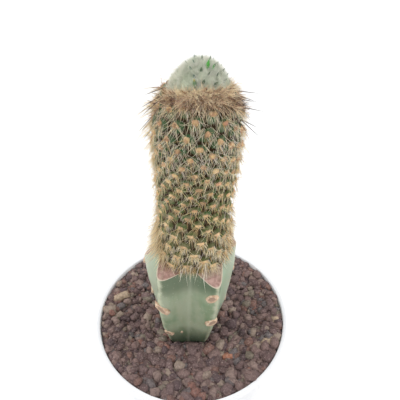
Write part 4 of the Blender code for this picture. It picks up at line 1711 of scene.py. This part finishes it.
class BuildColumn(bpy.types.Operator):
    """Build the scion's tubercles and the felt of their areoles"""
    bl_idname = "cactus.build_column"
    bl_label = "Build Column"

    def execute(self, context):
        scion = context.scene.cactus_scion
        finish_piece("tubercles", shape_column(scion), [tubercle_skin(scion)], ["scion"])
        felt = areole_felt(scion)
        finish_piece("areole_cushions", shape_felt(scion), [felt])
        finish_piece("areole_fuzz", grow_strands(felt_fuzz(scion), joints=0), [felt])
        return {"FINISHED"}


class GrowSpines(bpy.types.Operator):
    """Grow the bristles, the tan spines and the collar round the head"""
    bl_idname = "cactus.grow_spines"
    bl_label = "Grow Spines"

    def execute(self, context):
        scene = context.scene
        scion, spines, stock = scene.cactus_scion, scene.cactus_spines, scene.cactus_stock
        pale = spine_horn("pale_bristle", PALE_TONES, spines.pale, 0.1, 0.3)
        tan = spine_horn("tan_spine", TAN_TONES, spines.tan, 0.5, 0.5)
        skirt = spine_horn("skirt_bristle", SKIRT_TONES, spines.pale, 0.4, 0.6, sunlit=0.45)
        brown = spine_horn("brown_spine", BROWN_TONES, spines.tip, 0.6, 0.8, sunlit=0.4)
        dark = spine_horn("dark_spine", DARK_TONES, spines.tip, 0.0, 1.0, 0.4, sunlit=0.0)
        hair = spine_horn("collar_hair", BROWN_TONES, spines.hair, 0.3, 0.3, 0.85)
        for name, strands, horn, fullness in (
            ("pale_bristles", pale_bristles(scion, spines, stock), pale, 0.8),
            ("skirt_bristles", skirt_bristles(scion, spines, stock), skirt, 0.6),
            ("tan_spines", tan_spines(scion, spines, stock), tan, 0.5),
            ("collar_spines", collar_spines(scion, spines), brown, 0.4),
            ("long_spines", long_spines(scion), dark, 1.0),
            ("collar_hairs", collar_hairs(spines, scene.cactus_wool), hair, 0.3),
        ):
            finish_piece(name, grow_strands(strands, fullness=fullness), [horn])
        return {"FINISHED"}


class GrowWool(bpy.types.Operator):
    """Grow the woolly tip and its young leaves"""
    bl_idname = "cactus.grow_wool"
    bl_label = "Grow Wool"

    def execute(self, context):
        wool, scion = context.scene.cactus_wool, context.scene.cactus_scion
        fibre = fleece(wool)
        finish_piece("wool_core", shape_wool_core(wool, scion), [fibre], ["woolly_head"])
        finish_piece("wool_hairs", grow_strands(wool_hairs(wool)), [fibre])
        leaves = grow_strands(leaf_strands(wool), sides=8, joints=4, fullness=0.9)
        finish_piece("young_leaves", leaves, [leaf_green(wool)])
        return {"FINISHED"}


class SetStage(bpy.types.Operator):
    """Lay the floor, light the scene and set the camera"""
    bl_idname = "cactus.set_stage"
    bl_label = "Set Stage"

    def execute(self, context):
        set_stage(context.scene.cactus_stage)
        set_camera(context.scene.cactus_stage)
        return {"FINISHED"}


SETTINGS = {
    "cactus_pot": PotSettings,
    "cactus_mix": MixSettings,
    "cactus_stock": StockSettings,
    "cactus_scion": ScionSettings,
    "cactus_spines": SpineSettings,
    "cactus_wool": WoolSettings,
    "cactus_stage": StageSettings,
}
OPERATORS = (BuildPot, FillPot, BuildRootstock, BuildColumn, GrowSpines, GrowWool, SetStage)


class CactusPanel(bpy.types.Panel):
    """The sizes, colours and building steps of the cactus"""
    bl_idname = "VIEW3D_PT_cactus"
    bl_label = "Grafted Cactus"
    bl_space_type = "VIEW_3D"
    bl_region_type = "UI"
    bl_category = "Cactus"

    def draw(self, context):
        for name, group in SETTINGS.items():
            box = self.layout.box()
            box.label(text=group.__doc__)
            for prop in group.__annotations__:
                box.prop(getattr(context.scene, name), prop)
        for operator in OPERATORS:
            self.layout.operator(operator.bl_idname)


def register():
    for group in SETTINGS.values():
        bpy.utils.register_class(group)
    for operator in OPERATORS:
        bpy.utils.register_class(operator)
    bpy.utils.register_class(CactusPanel)
    for name, group in SETTINGS.items():
        setattr(bpy.types.Scene, name, PointerProperty(type=group))


def unregister():
    for name in SETTINGS:
        delattr(bpy.types.Scene, name)
    bpy.utils.unregister_class(CactusPanel)
    for operator in reversed(OPERATORS):
        bpy.utils.unregister_class(operator)
    for group in reversed(SETTINGS.values()):
        bpy.utils.unregister_class(group)


def main():
    register()
    bpy.ops.cactus.build_pot()
    bpy.ops.cactus.fill_pot()
    bpy.ops.cactus.build_rootstock()
    bpy.ops.cactus.build_column()
    bpy.ops.cactus.grow_spines()
    bpy.ops.cactus.grow_wool()
    bpy.ops.cactus.set_stage()


if __name__ == "__main__":
    main()
